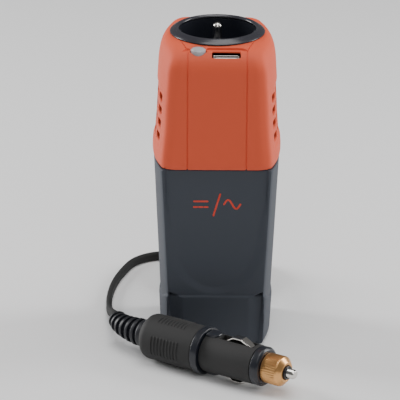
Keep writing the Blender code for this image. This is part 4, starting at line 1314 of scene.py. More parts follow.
@dataclass
class LowerHousing:
    """Graphite housing: a scooped front and back over a fluted base."""

    half_width: float = 32.9
    half_depth: float = 32.7
    corner: float = 4.6
    bow: float = 3.7
    softness: float = 0.9
    taper: float = 3.4
    wall: float = 2.0
    step_z: float = 28.6
    step_dip: float = 8.0
    proud: float = 0.8
    scoop_depth: float = 1.5
    scoop_centre: float = 62.0
    scoop_inner: Pair = (21.0, 28.6)
    scoop_outer: Pair = (26.6, 32.6)
    flute: Pair = (17.0, 24.7)
    flute_depth: float = 2.1
    edge: float = 2.8
    floor: float = 5.0
    post: tuple[float, float, float, float] = (19.0, 17.5, 4.5, 3.5)
    pad_radius: float = 20.4
    gland: tuple[float, float, float] = (17.0, 22.0, 4.1)

    def __post_init__(self) -> None:
        """Reads the heights from the frame."""
        low, high = node_box("lower_housing")
        self.bottom_z = float(low[2])
        self.top_z = float(high[2])

    def columns(self) -> Columns:
        """Grid columns, with lines on the flutes' edges."""
        flute = [16.2, 16.7, 17.0, 17.3, 18.0, 19.0, 20.0, 21.0, 22.0, 23.0, 23.6, 24.1, 24.4, 24.7]
        edge = self.flute[1]
        front = [i * 0.9 for i in range(18)] + flute + [edge + share for share in (0.3, 0.65, 1.0)]
        return Columns(fixed=edge, front=tuple(front), back=72)

    def inset(self, z: float) -> float:
        """How far the draft has brought the skin in at this height."""
        foot = 27.5
        return self.taper * (self.top_z - z) / (self.top_z - foot)

    def relief(self, x: np.ndarray, z: np.ndarray) -> np.ndarray:
        """Depth of the scoop in the front face.

        Args:
            x: Distance from the middle.
            z: Height.

        Returns:
            Depth at each point.
        """
        below = np.maximum(0.0, self.scoop_centre - z)
        spread, reach = 0.22, 24
        widening = 1 + spread * smoothstep(z, self.scoop_centre, self.scoop_centre + reach)
        inner = np.hypot(x / (self.scoop_inner[0] * widening), below / self.scoop_inner[1])
        outer = np.hypot(x / self.scoop_outer[0], below / self.scoop_outer[1])
        share = (1 - outer) / np.maximum((1 - outer) + (inner - 1), 1e-6)
        share = np.where(inner < 1, 1.0, np.where(outer > 1, 0.0, share))
        return self.scoop_depth * smoothstep(share, -0.08, 1.08)

    def base_offset(self, x: np.ndarray, y: np.ndarray, z: np.ndarray, facing: np.ndarray) -> np.ndarray:
        """How far the base stands out, less its flutes.

        Args:
            x: Distance from the middle.
            y: Depth.
            z: Height.
            facing: 1 on the front and back, 0 on the sides.

        Returns:
            Outward offset at each point.
        """
        dip = self.step_dip * (1 - facing) * np.clip(1 - (y / 27.0) ** 2, 0.0, 1.0)
        step = 1 - smoothstep(z + dip, self.step_z - 0.5, self.step_z + 0.5)
        start, end = self.flute
        across = np.abs(x)
        rise = smoothstep(across, start - 0.4, end - 1.2) * (1 - smoothstep(across, end - 0.5, end + 0.15))
        top = self.step_z - 1.4 + 3.4 * np.clip((across - start) / (end - start), 0, 1)
        cut = rise * (1 - smoothstep(z, top - 0.5, top + 0.5)) * facing
        return self.proud * step - (self.flute_depth + self.proud * (1 - step)) * cut

    def levels(self) -> list[float]:
        """Heights of the rings, close together at the bottom edge and at the step."""
        bottom = [self.bottom_z + self.edge * (1 - math.cos(a)) for a in np.linspace(0.15, math.pi / 2, 6)]
        spans = ((4.2, 17.5, 1.3), (17.6, 34.0, 0.4), (34.2, 64.0, 0.8), (64.5, self.top_z - 1.0, 1.3))
        marks = bottom + [z for span in spans for z in np.arange(*span)]
        return marks + [self.top_z - 0.6, self.top_z - 0.15, self.top_z]

    def ring(self, z: float, columns: Columns) -> np.ndarray:
        """One ring of the outer skin.

        Args:
            z: Height.
            columns: Grid columns.

        Returns:
            The ring's points.
        """
        rounding = max(0.0, 1 - (z - self.bottom_z) / self.edge)
        shrink = self.inset(z) + self.edge * 0.8 * (1 - math.sqrt(max(0.0, 1 - rounding**2)))
        lip = 0.35 * max(0.0, 1 - (self.top_z - z) / 0.6)
        width, depth = self.half_width - shrink - lip, self.half_depth - shrink - lip
        flat = Plan(width, depth, depth, self.corner, self.bow).ring(columns, self.softness)
        facing = 1 - smoothstep(depth - np.abs(flat[:, 1]), 0.6, 2.4)
        height = np.full(len(flat), z)
        offset = self.base_offset(flat[:, 0], flat[:, 1], height, facing)
        offset -= self.relief(flat[:, 0], height) * facing
        back = np.roll(flat, -1, axis=0) - np.roll(flat, 1, axis=0)
        normal = np.column_stack([back[:, 1], -back[:, 0]])
        normal /= np.linalg.norm(normal, axis=1)[:, None]
        return np.column_stack([flat + normal * offset[:, None], height])

    def front_y(self, x: float, z: float) -> float:
        """Depth of the scooped front face at a point."""
        return -(self.half_depth - self.inset(z) - float(self.relief(np.array(x), np.array(z))))

    def tools(self) -> tuple[bpy.types.Object, bpy.types.Object]:
        """Posts to join on, and the bores, the foot's recess and the lead's hole to cut."""
        x, y, radius, bore = self.post
        thread = 1.8
        posts, bores = [], []
        for i, (sx, sy) in enumerate(((1, 1), (-1, 1), (-1, -1), (1, -1))):
            axis = Axis((sx * x, sy * y, 0.0))
            post = rod(radius, self.top_z - 0.4, self.floor - 1.0)
            posts.append(lathe(f"post_{i}", post, Look.HOUSING, axis, 24))
            above, ledge, below = self.top_z + 1.0, self.top_z - 2.5, self.bottom_z - 1.1
            hole = [(0.0, above), (thread, above), (thread, ledge), (bore, ledge)]
            hole += [(bore, self.bottom_z + 0.5), (bore + 1.6, below), (0.0, below)]
            bores.append(lathe(f"bore_{i}", hole, Look.HOUSING, axis, 32))
        bores.append(lathe("pad_recess", rod(self.pad_radius, 1.95, -2.0), Look.HOUSING, Axis(), 64))
        gx, gz, radius = self.gland
        backwards = Axis((gx, 0.0, gz), (0, 1, 0), (1, 0, 0))
        bores.append(lathe("lead_hole", rod(radius, 45.0, 20.0), Look.HOUSING, backwards, 32))
        return join("posts", posts), join("bores", bores)

    def build(self) -> bpy.types.Object:
        """Makes the housing.

        Returns:
            The housing, in place of its frame node.
        """
        columns = self.columns()
        rings = [self.ring(z, columns) for z in self.levels()]
        inner = []
        for z in (self.top_z, 60.0, 30.0, self.floor):
            shrink = self.inset(max(z, 10.0)) + self.wall + (self.scoop_depth if z < self.top_z - 1 else 0.6)
            width, depth = self.half_width - shrink, self.half_depth - shrink
            flat = Plan(width, depth, depth, self.corner, self.bow).ring(columns, self.softness)
            inner.append(np.column_stack([flat, np.full(len(flat), z)]))
        points, faces = skin(rings + inner)
        housing = make_piece("housing_shell", points, faces, Look.HOUSING, sharp=30.0)
        posts, bores = self.tools()
        housing = carve(carve(housing, posts, "UNION"), bores)
        settle(housing, 30.0)
        return publish(housing, "housing", "housing_graphite", "lower_housing")


@dataclass
class Badge:
    """Printed mark on the front: direct current in, alternating current out."""

    housing: LowerHousing
    centre: Pair = (0.4, 80.0)
    size: Pair = (24.0, 12.0)
    stroke: float = 0.95
    lift: float = 0.06

    def stroke_piece(self, name: str, line: Sequence[Pair]) -> bpy.types.Object:
        """A thin raised stroke with round ends, laid on the front face.

        Args:
            name: Name of the piece.
            line: Middle line as (x, z) from the badge's centre.

        Returns:
            The piece.
        """
        points = np.array(line, float)
        along = np.gradient(points, axis=0)
        along /= np.linalg.norm(along, axis=1)[:, None]
        side = np.column_stack([-along[:, 1], along[:, 0]]) * self.stroke / 2
        cap = [
            points[-1] + side[-1] * math.cos(a) + along[-1] * self.stroke / 2 * math.sin(a)
            for a in np.linspace(0, math.pi, 9)[1:-1]
        ]
        tail = [
            points[0] - side[0] * math.cos(a) - along[0] * self.stroke / 2 * math.sin(a)
            for a in np.linspace(0, math.pi, 9)[1:-1]
        ]
        outline = [*(points + side), *cap, *(points - side)[::-1], *tail]
        rings = []
        for depth in (-0.05, self.lift * 0.6, self.lift):
            shrink = 1.0 if depth < self.lift else 0.995
            ring = []
            for x, z in outline:
                wx, wz = x * shrink + self.centre[0], z * shrink + self.centre[1]
                ring.append((wx, self.housing.front_y(wx, wz) - depth, wz))
            rings.append(np.array(ring))
        return loft(name, rings, Look.PRINT, sharp=60.0)

    def build(self) -> bpy.types.Object:
        """Makes the mark: three short bars under a long one, a slash, and a wave.

        Returns:
            The mark as one piece.
        """
        half_x, half_z = self.size[0] / 2, self.size[1] / 2
        pieces = [self.stroke_piece("bar_long", [(x, 2.0) for x in np.linspace(-half_x, -half_x + 7.0, 6)])]
        for i in range(3):
            start = -half_x + i * 2.7
            bar = [(x, -1.2) for x in np.linspace(start, start + 1.6, 4)]
            pieces.append(self.stroke_piece(f"bar_{i}", bar))
        slash = [(-1.9 + 3.4 * t, -half_z + 2 * half_z * t) for t in np.linspace(0, 1, 8)]
        pieces.append(self.stroke_piece("slash", slash))
        wave = [(3.6 + 8.4 * t, 0.4 + 2.5 * math.sin(math.tau * t)) for t in np.linspace(0, 1, 40)]
        pieces.append(self.stroke_piece("wave", wave))
        return publish(join("badge_mark", pieces, 60.0), "housing", "cover_orange")


# --- Foot, socket and controls ----------------------------------------------------------


@dataclass
class Foot:
    """Round rubber foot with shallow ribs."""

    radius: float = 20.0
    thickness: float = 1.6
    ribs: int = 5

    def build(self) -> bpy.types.Object:
        """Makes the foot.

        Returns:
            The foot, in place of its frame node.
        """
        edge = 0.4
        profile: list[Pair] = [(0.0, self.thickness), (self.radius - edge, self.thickness)]
        profile += [(self.radius, self.thickness - edge), (self.radius, edge), (self.radius - edge, 0.0)]
        pitch = (self.radius - 4.0) / self.ribs
        for i in range(self.ribs):
            outer = self.radius - 2.0 - i * pitch
            profile += [(outer, 0.0), (outer - 0.3, 0.5), (outer - 1.2, 0.5), (outer - 1.5, 0.0)]
        profile.append((0.0, 0.0))
        return publish(lathe("foot_pad", profile, Look.PAD, Axis(), 96), "housing", "pad_rubber", "base_pad")


@dataclass
class Socket:
    """Recessed mains socket: glossy bezel, deep well with two pin holes, and an earth pin."""

    recess: float = 20.0
    guide: Triple = (2.2, 1.3, 5.2)
    holes: Pair = (9.5, 2.75)
    earth_offset: float = 10.0
    earth_hole: float = 2.6

    def __post_init__(self) -> None:
        """Reads its places from the frame."""
        low, high = node_box("socket_bezel")
        self.centre = (float(low[0] + high[0]) / 2, float(low[1] + high[1]) / 2)
        self.outer = float(high[0] - low[0]) / 2
        self.foot_z, self.rim_z = float(low[2]), float(high[2])
        well_low, well_high = node_box("socket_well")
        self.well_bottom, self.well_top = float(well_low[2]), float(well_high[2])
        self.well_outer = float(well_high[0] - well_low[0]) / 2
        self.floor_z = self.well_bottom + 2.4

    def bezel(self) -> bpy.types.Object:
        """The ring round the recess, its face rising inwards."""
        corners = [
            (self.recess + 0.9, self.rim_z),
            (self.recess + 1.7, self.rim_z - 0.05),
            (self.outer - 0.9, self.foot_z + 1.15),
            (self.outer, self.foot_z + 0.35),
            (self.outer, self.foot_z),
            (self.well_outer + 0.3, self.foot_z),
            (self.well_outer + 0.3, self.well_top + 0.3),
            (self.recess, self.well_top + 0.3),
            (self.recess, self.rim_z - 0.8),
        ]
        axis = Axis((*self.centre, 0.0))
        ring = lathe("bezel_ring", fillet(corners, 0.45, True, 5), Look.SOCKET, axis, 160)
        return publish(ring, "housing", "socket_graphite", "socket_bezel")

    def well(self) -> bpy.types.Object:
        """The cup with its floor, pin holes and two guide ribs."""
        corners = [
            (self.recess, self.well_top),
            (self.well_outer, self.well_top),
            (self.well_outer, self.well_bottom),
            (0.0, self.well_bottom),
            (0.0, self.floor_z),
            (6.0, self.floor_z),
            (6.2, self.floor_z + 0.25),
            (15.8, self.floor_z + 0.25),
            (16.1, self.floor_z),
            (self.recess - 1.2, self.floor_z),
            (self.recess, self.floor_z + 1.2),
        ]
        axis = Axis((*self.centre, 0.0))
        cup = lathe("well_cup", corners, Look.WELL, axis, 128)
        holes = []
        spacing, radius = self.holes
        places = ((-spacing, 0.0, radius), (spacing, 0.0, radius), (0.0, self.earth_offset, self.earth_hole))
        for i, (x, y, size) in enumerate(places):
            above, below = self.floor_z + 1.5, self.well_bottom - 1.0
            profile = [(0.0, above), (size + 1.6, above), (size, self.floor_z - 0.1)]
            profile += [(size, below), (0.0, below)]
            axis = Axis((self.centre[0] + x, self.centre[1] + y, 0.0))
            holes.append(lathe(f"pin_hole_{i}", profile, Look.WELL, axis, 40))
        cup = carve(cup, join("pin_holes", holes))
        wide, deep, drop = self.guide
        section = fillet(rectangle(-wide / 2, 0.0, wide / 2, -deep - 0.4), 0.4, True, 3)
        rings = []
        for below, reach in ((drop, 1.0), (0.8, 1.0), (0.2, 0.45)):
            z = self.well_top - below
            rings.append(np.array([(self.recess + 0.4 + b * reach, a, z) for a, b in section]))
        rib = loft("guide_rib", rings, Look.WELL)
        ribs = ring_repeat().run("guide_ribs", rib, Look.WELL, {"Count": 2, "Sweep": math.tau, "Start": 0.0})
        ribs.data.transform(Matrix.Translation((self.centre[0] * MM, self.centre[1] * MM, 0.0)))
        publish(ribs, "housing", "socket_graphite")
        settle(cup)
        return publish(cup, "housing", "socket_graphite", "socket_well")

    def earth_pin(self) -> bpy.types.Object:
        """The pin, rounded at its tip and collared at the floor."""
        low, high = node_box("earth_pin")
        radius, top = float(high[0] - low[0]) / 2, float(high[2])
        quarter = np.linspace(0, math.pi / 2, 12)
        dome, neck = radius * 1.1, radius - 0.2
        profile: list[Pair] = [(radius * math.sin(a), top - dome * (1 - math.cos(a))) for a in quarter]
        profile += [(radius, self.floor_z + 0.6), (neck, self.floor_z + 0.4), (neck, low[2]), (0.0, low[2])]
        axis = Axis((self.centre[0], self.centre[1] + self.earth_offset, 0.0))
        return publish(lathe("earth_post", profile, Look.NICKEL, axis, 48), "housing", "nickel", "earth_pin")

    def build(self) -> None:
        """Makes the socket's visible pieces."""
        self.bezel()
        self.well()
        self.earth_pin()


@dataclass
class Controls:
    """Domed power button and USB port."""

    shelf_z: float = SHELF_Z
    button_radius: float = 3.9
    port_wall: float = 0.4
    contact_count: int = 4
    contact_pitch: float = 2.3

    def button(self) -> bpy.types.Object:
        """The translucent button: a low dome on a short stem."""
        low, high = node_box("power_button")
        centre = ((low[0] + high[0]) / 2, (low[1] + high[1]) / 2, 0.0)
        top = float(high[2])
        radius, stem = self.button_radius, 1.5
        quarter = np.linspace(0, math.pi / 2, 14)
        crown = [(radius * 0.86 * math.sin(a), top - 0.75 * (1 - math.cos(a))) for a in quarter]
        rim = [(radius, top - 1.15), (radius, self.shelf_z - 2.6), (stem, self.shelf_z - 3.4)]
        profile = [*crown, *rim, (stem, float(low[2])), (0.0, float(low[2]))]
        dome = lathe("button_dome", profile, Look.BUTTON, Axis(centre), 72)
        return publish(dome, "button", "button_grey", "power_button")

    def port(self) -> None:
        """The USB port: a folded shell, a tongue and its contacts."""
        low, high = node_box("usb_shell")
        centre = (low + high) / 2
        half = (high - low)[:2] / 2
        rings = []
        foot, top, wall = low[2], high[2], self.port_wall
        outside = ((foot, 0.0), (top - 0.15, 0.0), (top, 0.12))
        inside = ((top, wall - 0.1), (top - 0.2, wall), (foot + 1.0, wall))
        for z, inset in outside + inside:
            box = rectangle(inset - half[0], inset - half[1], half[0] - inset, half[1] - inset)
            rings.append(np.array([(centre[0] + a, centre[1] + b, z) for a, b in fillet(box, 0.7, True, 4)]))
        shell = loft("port_shell", rings, Look.NICKEL)
        publish(shell, "housing", "nickel", "usb_shell")
        low, high = node_box("usb_tongue")
        rings = []
        for z, inset in ((low[2], 0.0), (high[2] - 0.4, 0.0), (high[2], 0.35)):
            box = rectangle(low[0] + inset, low[1] + inset, high[0] - inset, high[1] - inset)
            rings.append(np.array([(a, b, z) for a, b in fillet(box, 0.2, True, 2)]))
        publish(loft("port_tongue", rings, Look.TONGUE), "housing", "tongue_white", "usb_tongue")
        pitch = self.contact_pitch
        start = (low[0] + high[0]) / 2 - pitch * (self.contact_count - 1) / 2
        strip = fillet(rectangle(start - 0.5, low[1] - 0.12, start + 0.5, low[1] + 0.1), 0.05, True, 2)
        rings = [np.array([(a, b, z) for a, b in strip]) for z in (low[2] + 2.0, high[2] - 1.5)]
        contact = loft("port_contact", rings, Look.BRASS)
        values = {"Count": self.contact_count, "Step": (pitch * MM, 0.0, 0.0)}
        contacts = row_repeat().run("port_contacts", contact, Look.BRASS, values)
        publish(contacts, "housing", "contact_brass")

    def build(self) -> None:
        """Makes the controls."""
        self.button()
        self.port()


# --- Plug -------------------------------------------------------------------------------


@dataclass
class CarPlug:
    """12 V plug: gripped handle, collar, barrel with sprung contacts, knurled nut and tip."""

    nut_joint_u: float = 82.0
    bore: float = 3.7
    handle_radius: float = 12.0
    handle_pocket: Pair = (26.9, 34.9)
    grips: int = 9
    grip_first: float = 10.4
    grip_pitch: float = 2.0
    collar_radius: float = 12.4
    collar_span: Pair = (35.2, 39.2)
    barrel_radius: float = 10.4
    barrel_span: Pair = (39.5, 70.3)
    slot_span: Pair = (47.1, 68.3)
    guide_centre: float = 43.2
    contact_start: float = 48.0
    ring_span: Pair = (70.6, 75.3)
    spigot_end: float = 81.6
    nut_radius: float = 7.75
    nut_span: Pair = (75.6, 87.1)
    nut_cavity_end: float = 81.9
    knurls: int = 44
    insulator_end: float = 88.1
    tip_end: float = 92.5

    def __post_init__(self) -> None:
        """Finds the plug's axis from the nut's joint."""
        turn = joint("nut_turn")
        along = -Vector(turn["axis"]).normalized()
        origin = Vector(turn["pos_m"]) / MM - along * self.nut_joint_u
        self.axis = Axis(tuple(origin), tuple(along), (0.0, 0.0, 1.0))

    def lofted(self, name: str, rings: Sequence[np.ndarray], look: Look) -> bpy.types.Object:
        """Makes a piece from rings placed along the plug's axis."""
        points, faces = skin(rings)
        return make_piece(name, self.axis.place(points), faces, look)

    def turned(
        self, name: str, corners: Sequence[Pair], look: Look, radius: float = 0.3, steps: int = 96
    ) -> bpy.types.Object:
        """Turns a rounded profile about the plug's axis.

        Args:
            name: Name of the piece.
            corners: Corners as (radius, distance along the plug).
            look: Its finish.
            radius: Rounding of the corners.
            steps: Points round it.

        Returns:
            The piece.
        """
        closed = corners[0][0] != 0.0
        return lathe(name, fillet(corners, radius, closed, 4), look, self.axis, steps)

    def to_frame(self) -> Matrix:
        """Matrix from the plug's own metres to the frame."""
        matrix = self.axis.matrix()
        matrix.translation = matrix.translation * MM
        return matrix

    def handle(self) -> None:
        """Handle with four rows of grip ribs, and the collar in front of it."""
        r = self.handle_radius
        start, end = self.handle_pocket
        corners = [(0.0, start), (self.bore, start), (self.bore, end), (r - 0.3, end), (r, end - 0.4)]
        corners += [(r, 5.0), (r - 0.5, 3.4), (7.9, 0.0), (0.0, 0.0)]
        body = self.turned("handle_body", corners, Look.PLUG, 1.6)
        publish(body, "housing", "plug_black", "plug_handle")
        rings = []
        half_angle = math.radians(27)
        for u, lift in ((-0.55, -0.25), (-0.35, 0.28), (0.35, 0.28), (0.55, -0.25)):
            spread = np.linspace(-1, 1, 15)
            arc = [(r + lift * min(1.0, (1 - abs(s)) * 8 + 0.05), s * half_angle) for s in spread]
            ring = [(reach * math.cos(a), reach * math.sin(a), u) for reach, a in arc]
            base = r - 0.6
            ring += [(base * math.cos(a), base * math.sin(a), u) for a in (half_angle, 0.0, -half_angle)]
            rings.append(np.array(ring))
        rib = loft("grip_rib", rings, Look.PLUG)
        values = {"Count": self.grips, "Step": (0.0, 0.0, self.grip_pitch * MM)}
        row = row_repeat().run("grip_row", rib, Look.PLUG, values)
        grips = ring_repeat().run("grip_ribs", row, Look.PLUG, {"Count": 4, "Sweep": math.tau, "Start": 0.0})
        grips.data.transform(self.to_frame() @ Matrix.Translation((0.0, 0.0, self.grip_first * MM)))
        publish(grips, "housing", "plug_black")
        low, high = self.collar_span
        outer, edge = self.collar_radius, self.collar_radius - 0.2
        corners = [(self.bore, high), (edge, high), (outer, high - 0.3)]
        corners += [(outer, low + 0.3), (edge, low), (self.bore, low)]
        publish(self.turned("collar_ring", corners, Look.COLLAR, 0.3), "housing", "plug_black", "plug_collar")

    def barrel(self) -> None:
        """Barrel with its two contact slots, the contact guides and the nose ring."""
        r = self.barrel_radius
        start, end = self.barrel_span
        corners = [(self.bore, end), (r - 0.35, end), (r - 0.1, end - 0.3)]
        corners += [(r, 61.6), (r, start), (self.bore, start)]
        barrel = self.turned("barrel_tube", corners, Look.PLUG, 0.4)
        slots = []
        for side in (-1, 1):
            section = fillet(rectangle(5.7, -2.85, 13.0, 2.85), 0.3, True, 2)
            rings = [np.array([(side * a, b, u) for a, b in section]) for u in self.slot_span]
            slots.append(self.lofted(f"slot_{side}", rings, Look.PLUG))
        barrel = carve(barrel, join("slots", slots))
        settle(barrel)
        publish(barrel, "housing", "plug_black", "plug_barrel")
        for name, side in (("guide_top", 1), ("guide_bottom", -1)):
            corners = [(-3.6, 39.6), (3.6, 39.6), (3.6, 44.8), (1.8, 46.6), (-1.8, 46.6), (-3.6, 44.8)]
            outline = fillet(corners, 0.6, True, 3)
            middle = self.guide_centre
            rings = []
            for height, shrink in ((9.4, 1.0), (10.8, 1.0), (11.1, 0.93)):
                ring = [(side * height, a * shrink, middle + (u - middle) * shrink) for a, u in outline]
                rings.append(np.array(ring))
            publish(self.lofted(name, rings, Look.COLLAR), "housing", "plug_black")
        start, end = self.ring_span
        corners = [(self.bore, self.spigot_end), (6.0, self.spigot_end), (6.0, end), (9.2, end)]
        corners += [(10.3, end - 1.1), (10.3, start + 0.3), (10.0, start), (self.bore, start)]
        ring = self.turned("nose_ring", corners, Look.COLLAR, 0.5)
        publish(ring, "housing", "plug_black", "plug_nose_ring")

    def side_contact(self, name: str, body: str, node: str, side: int) -> None:
        """A bent leaf that springs out of its slot.

        Args:
            name: Name of the piece.
            body: Body that it rides on.
            node: Frame node that it stands for.
            side: 1 for the top, -1 for the bottom.
        """
        start, length = self.contact_start, 18.5
        crest = self.barrel_radius + 1.5
        line = [(7.8, 0.0), (9.0, 3.0), (crest - 0.2, 7.3), (crest, 8.6), (crest, 12.4)]
        line += [(crest - 0.3, 13.1), (8.8, length)]
        middle = smooth_route([(reach, start + u, 0.0) for reach, u in line], 0.5)
        rings = []
        tangents = np.gradient(middle, axis=0)
        for (reach, u, _), tangent in zip(middle, tangents):
            normal = np.array([tangent[1], -tangent[0]]) / np.hypot(tangent[0], tangent[1])
            taper = 2.5 - 0.5 * float(smoothstep(u, start + 15, start + length))
            ring = []
            for across, thick in fillet(rectangle(-taper, -0.4, taper, 0.4), 0.2, True, 2):
                ring.append((side * (reach + normal[0] * thick), side * across, u + normal[1] * thick))
            rings.append(np.array(ring))
        publish(self.lofted(name, rings, Look.NICKEL), body, "nickel", node)

    def nose(self) -> None:
        """Knurled nut, insulator ring and tip."""
        start, end = self.nut_span
        r, cavity = self.nut_radius, self.nut_cavity_end
        corners = [(3.9, end), (5.2, end), (r, end - 2.2), (r, start)]
        corners += [(6.3, start), (6.3, cavity), (3.9, cavity)]
        body = self.turned("nut_body", corners, Look.COPPER, 0.25)
        publish(body, "nut", "copper_nut", "nose_nut")
        half = math.radians(180 / self.knurls) * 0.72
        rings = []
        for u, lift in ((start + 0.5, -0.12), (start + 0.9, 0.15), (end - 2.9, 0.15), (end - 2.4, -0.25)):
            outer, inner = (7.7, half * 7.7), (7.4, half * 6.4)
            ring = [(r + lift, 0.0), outer, inner, (inner[0], -inner[1]), (outer[0], -outer[1])]
            rings.append(np.array([(a, b, u) for a, b in ring]))
        ridge = loft("knurl", rings, Look.COPPER)
        values = {"Count": self.knurls, "Sweep": math.tau, "Start": 0.0}
        knurl = ring_repeat().run("nut_knurl", ridge, Look.COPPER, values)
        knurl.data.transform(self.to_frame())
        publish(knurl, "nut", "copper_nut")
        front = self.insulator_end
        corners = [(2.8, front), (3.6, front), (3.6, cavity), (2.8, cavity)]
        insulator = self.turned("insulator_ring", corners, Look.COLLAR, 0.2, 64)
        publish(insulator, "nut_guide", "plug_black", "tip_insulator")
        point, flange = self.tip_end, self.spigot_end
        tip = [(0.0, point), (1.4, point), (1.9, point - 0.2), (2.5, point - 1.2)]
        tip += [(2.5, flange), (3.15, flange), (3.15, flange - 1.5), (0.0, flange - 1.5)]
        publish(lathe("tip_pin", tip, Look.NICKEL, self.axis, 64), "tip", "nickel", "tip_contact")

    def build(self) -> None:
        """Makes the plug."""
        self.handle()
        self.barrel()
        self.side_contact("contact_top", "upper_contact", "side_contact_top", 1)
        self.side_contact("contact_bottom", "lower_contact", "side_contact_bottom", -1)
        self.nose()


# --- Lead -------------------------------------------------------------------------------


@dataclass
class Lead:
    """Flat twin lead: out of its gland, down into a two-layer coil, and round to the plug."""

    plug: CarPlug
    width: float = 5.0
    thickness: float = 3.4
    coil_centre: Pair = (0.0, 66.0)
    coil_outer: float = 28.0
    pitch: float = 3.7
    lower_z: float = 2.6
    upper_z: float = 7.7
    boot_start: Triple = (-51.4, -23.8, 12.6)
    boot_heading: Triple = (0.20, -0.98, 0.0)
    in_handle: float = 4.0
    boot_steps: int = 60
    turns_down: float = 1.86
    turns_out: float = 2.0
    route: tuple[Triple, ...] = (
        (-19.0, 94.5, 2.6),
        (-29.0, 93.8, 2.6),
        (-38.0, 90.3, 2.6),
        (-45.5, 82.5, 2.6),
        (-50.5, 70.0, 2.6),
        (-54.5, 55.0, 2.6),
        (-56.7, 40.0, 2.6),
        (-57.4, 26.0, 2.7),
        (-57.0, 13.0, 4.0),
        (-56.0, 1.5, 6.6),
        (-54.4, -9.5, 10.0),
        (-52.9, -16.4, 12.0),
        (-51.5, -22.9, 12.6),
    )
    tail: tuple[Triple, ...] = (
        (17.2, 57.5, 21.9),
        (18.6, 63.5, 20.2),
        (21.2, 70.5, 16.0),
        (22.9, 77.0, 11.6),
        (22.5, 82.2, 8.6),
    )

    def section(self) -> list[Pair]:
        """Outline of two joined cores, the upright way the wide one."""
        outline = []
        count, power = 28, 0.78
        waist_depth, waist_spread = 0.14, 0.28
        for i in range(count):
            angle = math.tau * i / count
            waist = 1 - waist_depth * math.exp(-((math.sin(angle) / waist_spread) ** 2))
            across = math.copysign(abs(math.cos(angle)) ** power, math.cos(angle))
            across *= self.thickness / 2 * waist
            upright = math.copysign(abs(math.sin(angle)) ** power, math.sin(angle)) * self.width / 2
            outline.append((across, upright))
        return outline

    def coil(self) -> np.ndarray:
        """Middle line of the coil: inwards on the upper layer, then outwards on the floor.

        Returns:
            Points of the coil's line.
        """
        inner = self.coil_outer - self.pitch * self.turns_down
        drop, points_per_turn = 0.3, 72
        total = self.turns_down + drop + self.turns_out
        points = []
        steps = int(total * points_per_turn)
        end_angle = math.pi / 2
        start_angle = end_angle - total * math.tau
        outward_rate = (self.coil_outer - inner) / self.turns_out
        for i in range(steps + 1):
            turned = total * i / steps
            angle = start_angle + turned * math.tau
            if turned < self.turns_down:
                radius, z = self.coil_outer - self.pitch * turned, self.upper_z
            else:
                down = min(1.0, (turned - self.turns_down) / drop)
                z = self.upper_z + (self.lower_z - self.upper_z) * float(smoothstep(down, 0.0, 1.0))
                radius = inner + max(0.0, turned - self.turns_down - drop) * outward_rate
            x = self.coil_centre[0] + radius * math.cos(angle)
            points.append((x, self.coil_centre[1] + radius * math.sin(angle), z))
        return np.array(points)

    def build(self) -> None:
        low, high = node_box("cord_gland")
        exit_point = ((low[0] + high[0]) / 2, high[1] + 0.3, (low[2] + high[2]) / 2)
        coil = self.coil()
        landing = smooth_route([exit_point, *self.tail, tuple(coil[0]), tuple(coil[6])], 0.9)
        cut = int(np.argmin(np.linalg.norm(landing - coil[0], axis=1)))
        out = smooth_route([tuple(coil[-6]), tuple(coil[-1]), *self.route], 1.1)
        join_at = int(np.argmin(np.linalg.norm(out - coil[-1], axis=1)))
        origin, along = Vector(self.plug.axis.origin), Vector(self.plug.axis.along)
        inside = [origin + along * u for u in np.linspace(0.0, self.in_handle, 5).tolist()]
        hidden = [tuple(point) for point in self.boot_line()[2::2] + inside]
        line = np.vstack([landing[:cut], coil, out[join_at + 1 :], np.array(hidden)])
        steps = np.linalg.norm(np.diff(line, axis=0), axis=1)
        line = line[np.concatenate([[True], steps > 0.25])]
        cord = sweep("cord_flat", line, self.section(), Look.CORD)
        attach(cord, "housing")
        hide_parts("cord_tail", "cord_coil", "cord_lead")
        names = ["handle_body", "grip_ribs", "collar_ring", "barrel_tube", "guide_top", "guide_bottom"]
        names += ["nose_ring", "contact_top", "contact_bottom", "nut_body", "nut_knurl"]
        names += ["insulator_ring", "tip_pin", "plug_fuse", "tip_spring"]
        pieces = [self.gland(low, high), self.boot(), *(bpy.data.objects[name] for name in names)]

    def gland(self, low: np.ndarray, high: np.ndarray) -> bpy.types.Object:
        """Strain relief on the back of the housing, tapered and ribbed.

        Args:
            low: Lowest corner of its frame node.
            high: Highest corner of its frame node.

        Returns:
            The gland.
        """
        centre = ((low[0] + high[0]) / 2, 0.0, (low[2] + high[2]) / 2)
        axis = Axis(centre, (0.0, 1.0, 0.0), (1.0, 0.0, 0.0))
        start, end = high[1] - 20.5, high[1]
        neck = low[1] + 1.6
        slim, wide, groove = 3.1, 4.5, 0.75
        ribs, pitch = 7, 2.3
        profile = [(0.0, end), (2.9, end), (slim, end - 0.4)]
        for i in range(ribs):
            u = end - 1.4 - i * pitch
            radius = slim + (wide - slim) * (i + 0.5) / ribs
            inner = radius - groove
            profile += [(radius, u), (radius, u - 1.2), (inner, u - 1.3), (inner, u - 2.2)]
        profile += [(4.7, start + 1.9), (5.3, start + 1.6), (5.3, start), (3.7, start)]
        profile += [(3.7, neck), (5.3, neck), (5.3, low[1]), (0.0, low[1])]
        piece = lathe("gland_ribs", fillet(profile, 0.2, False, 2), Look.BOOT, axis, 48)
        return publish(piece, "housing", "cord_rubber", "cord_gland")

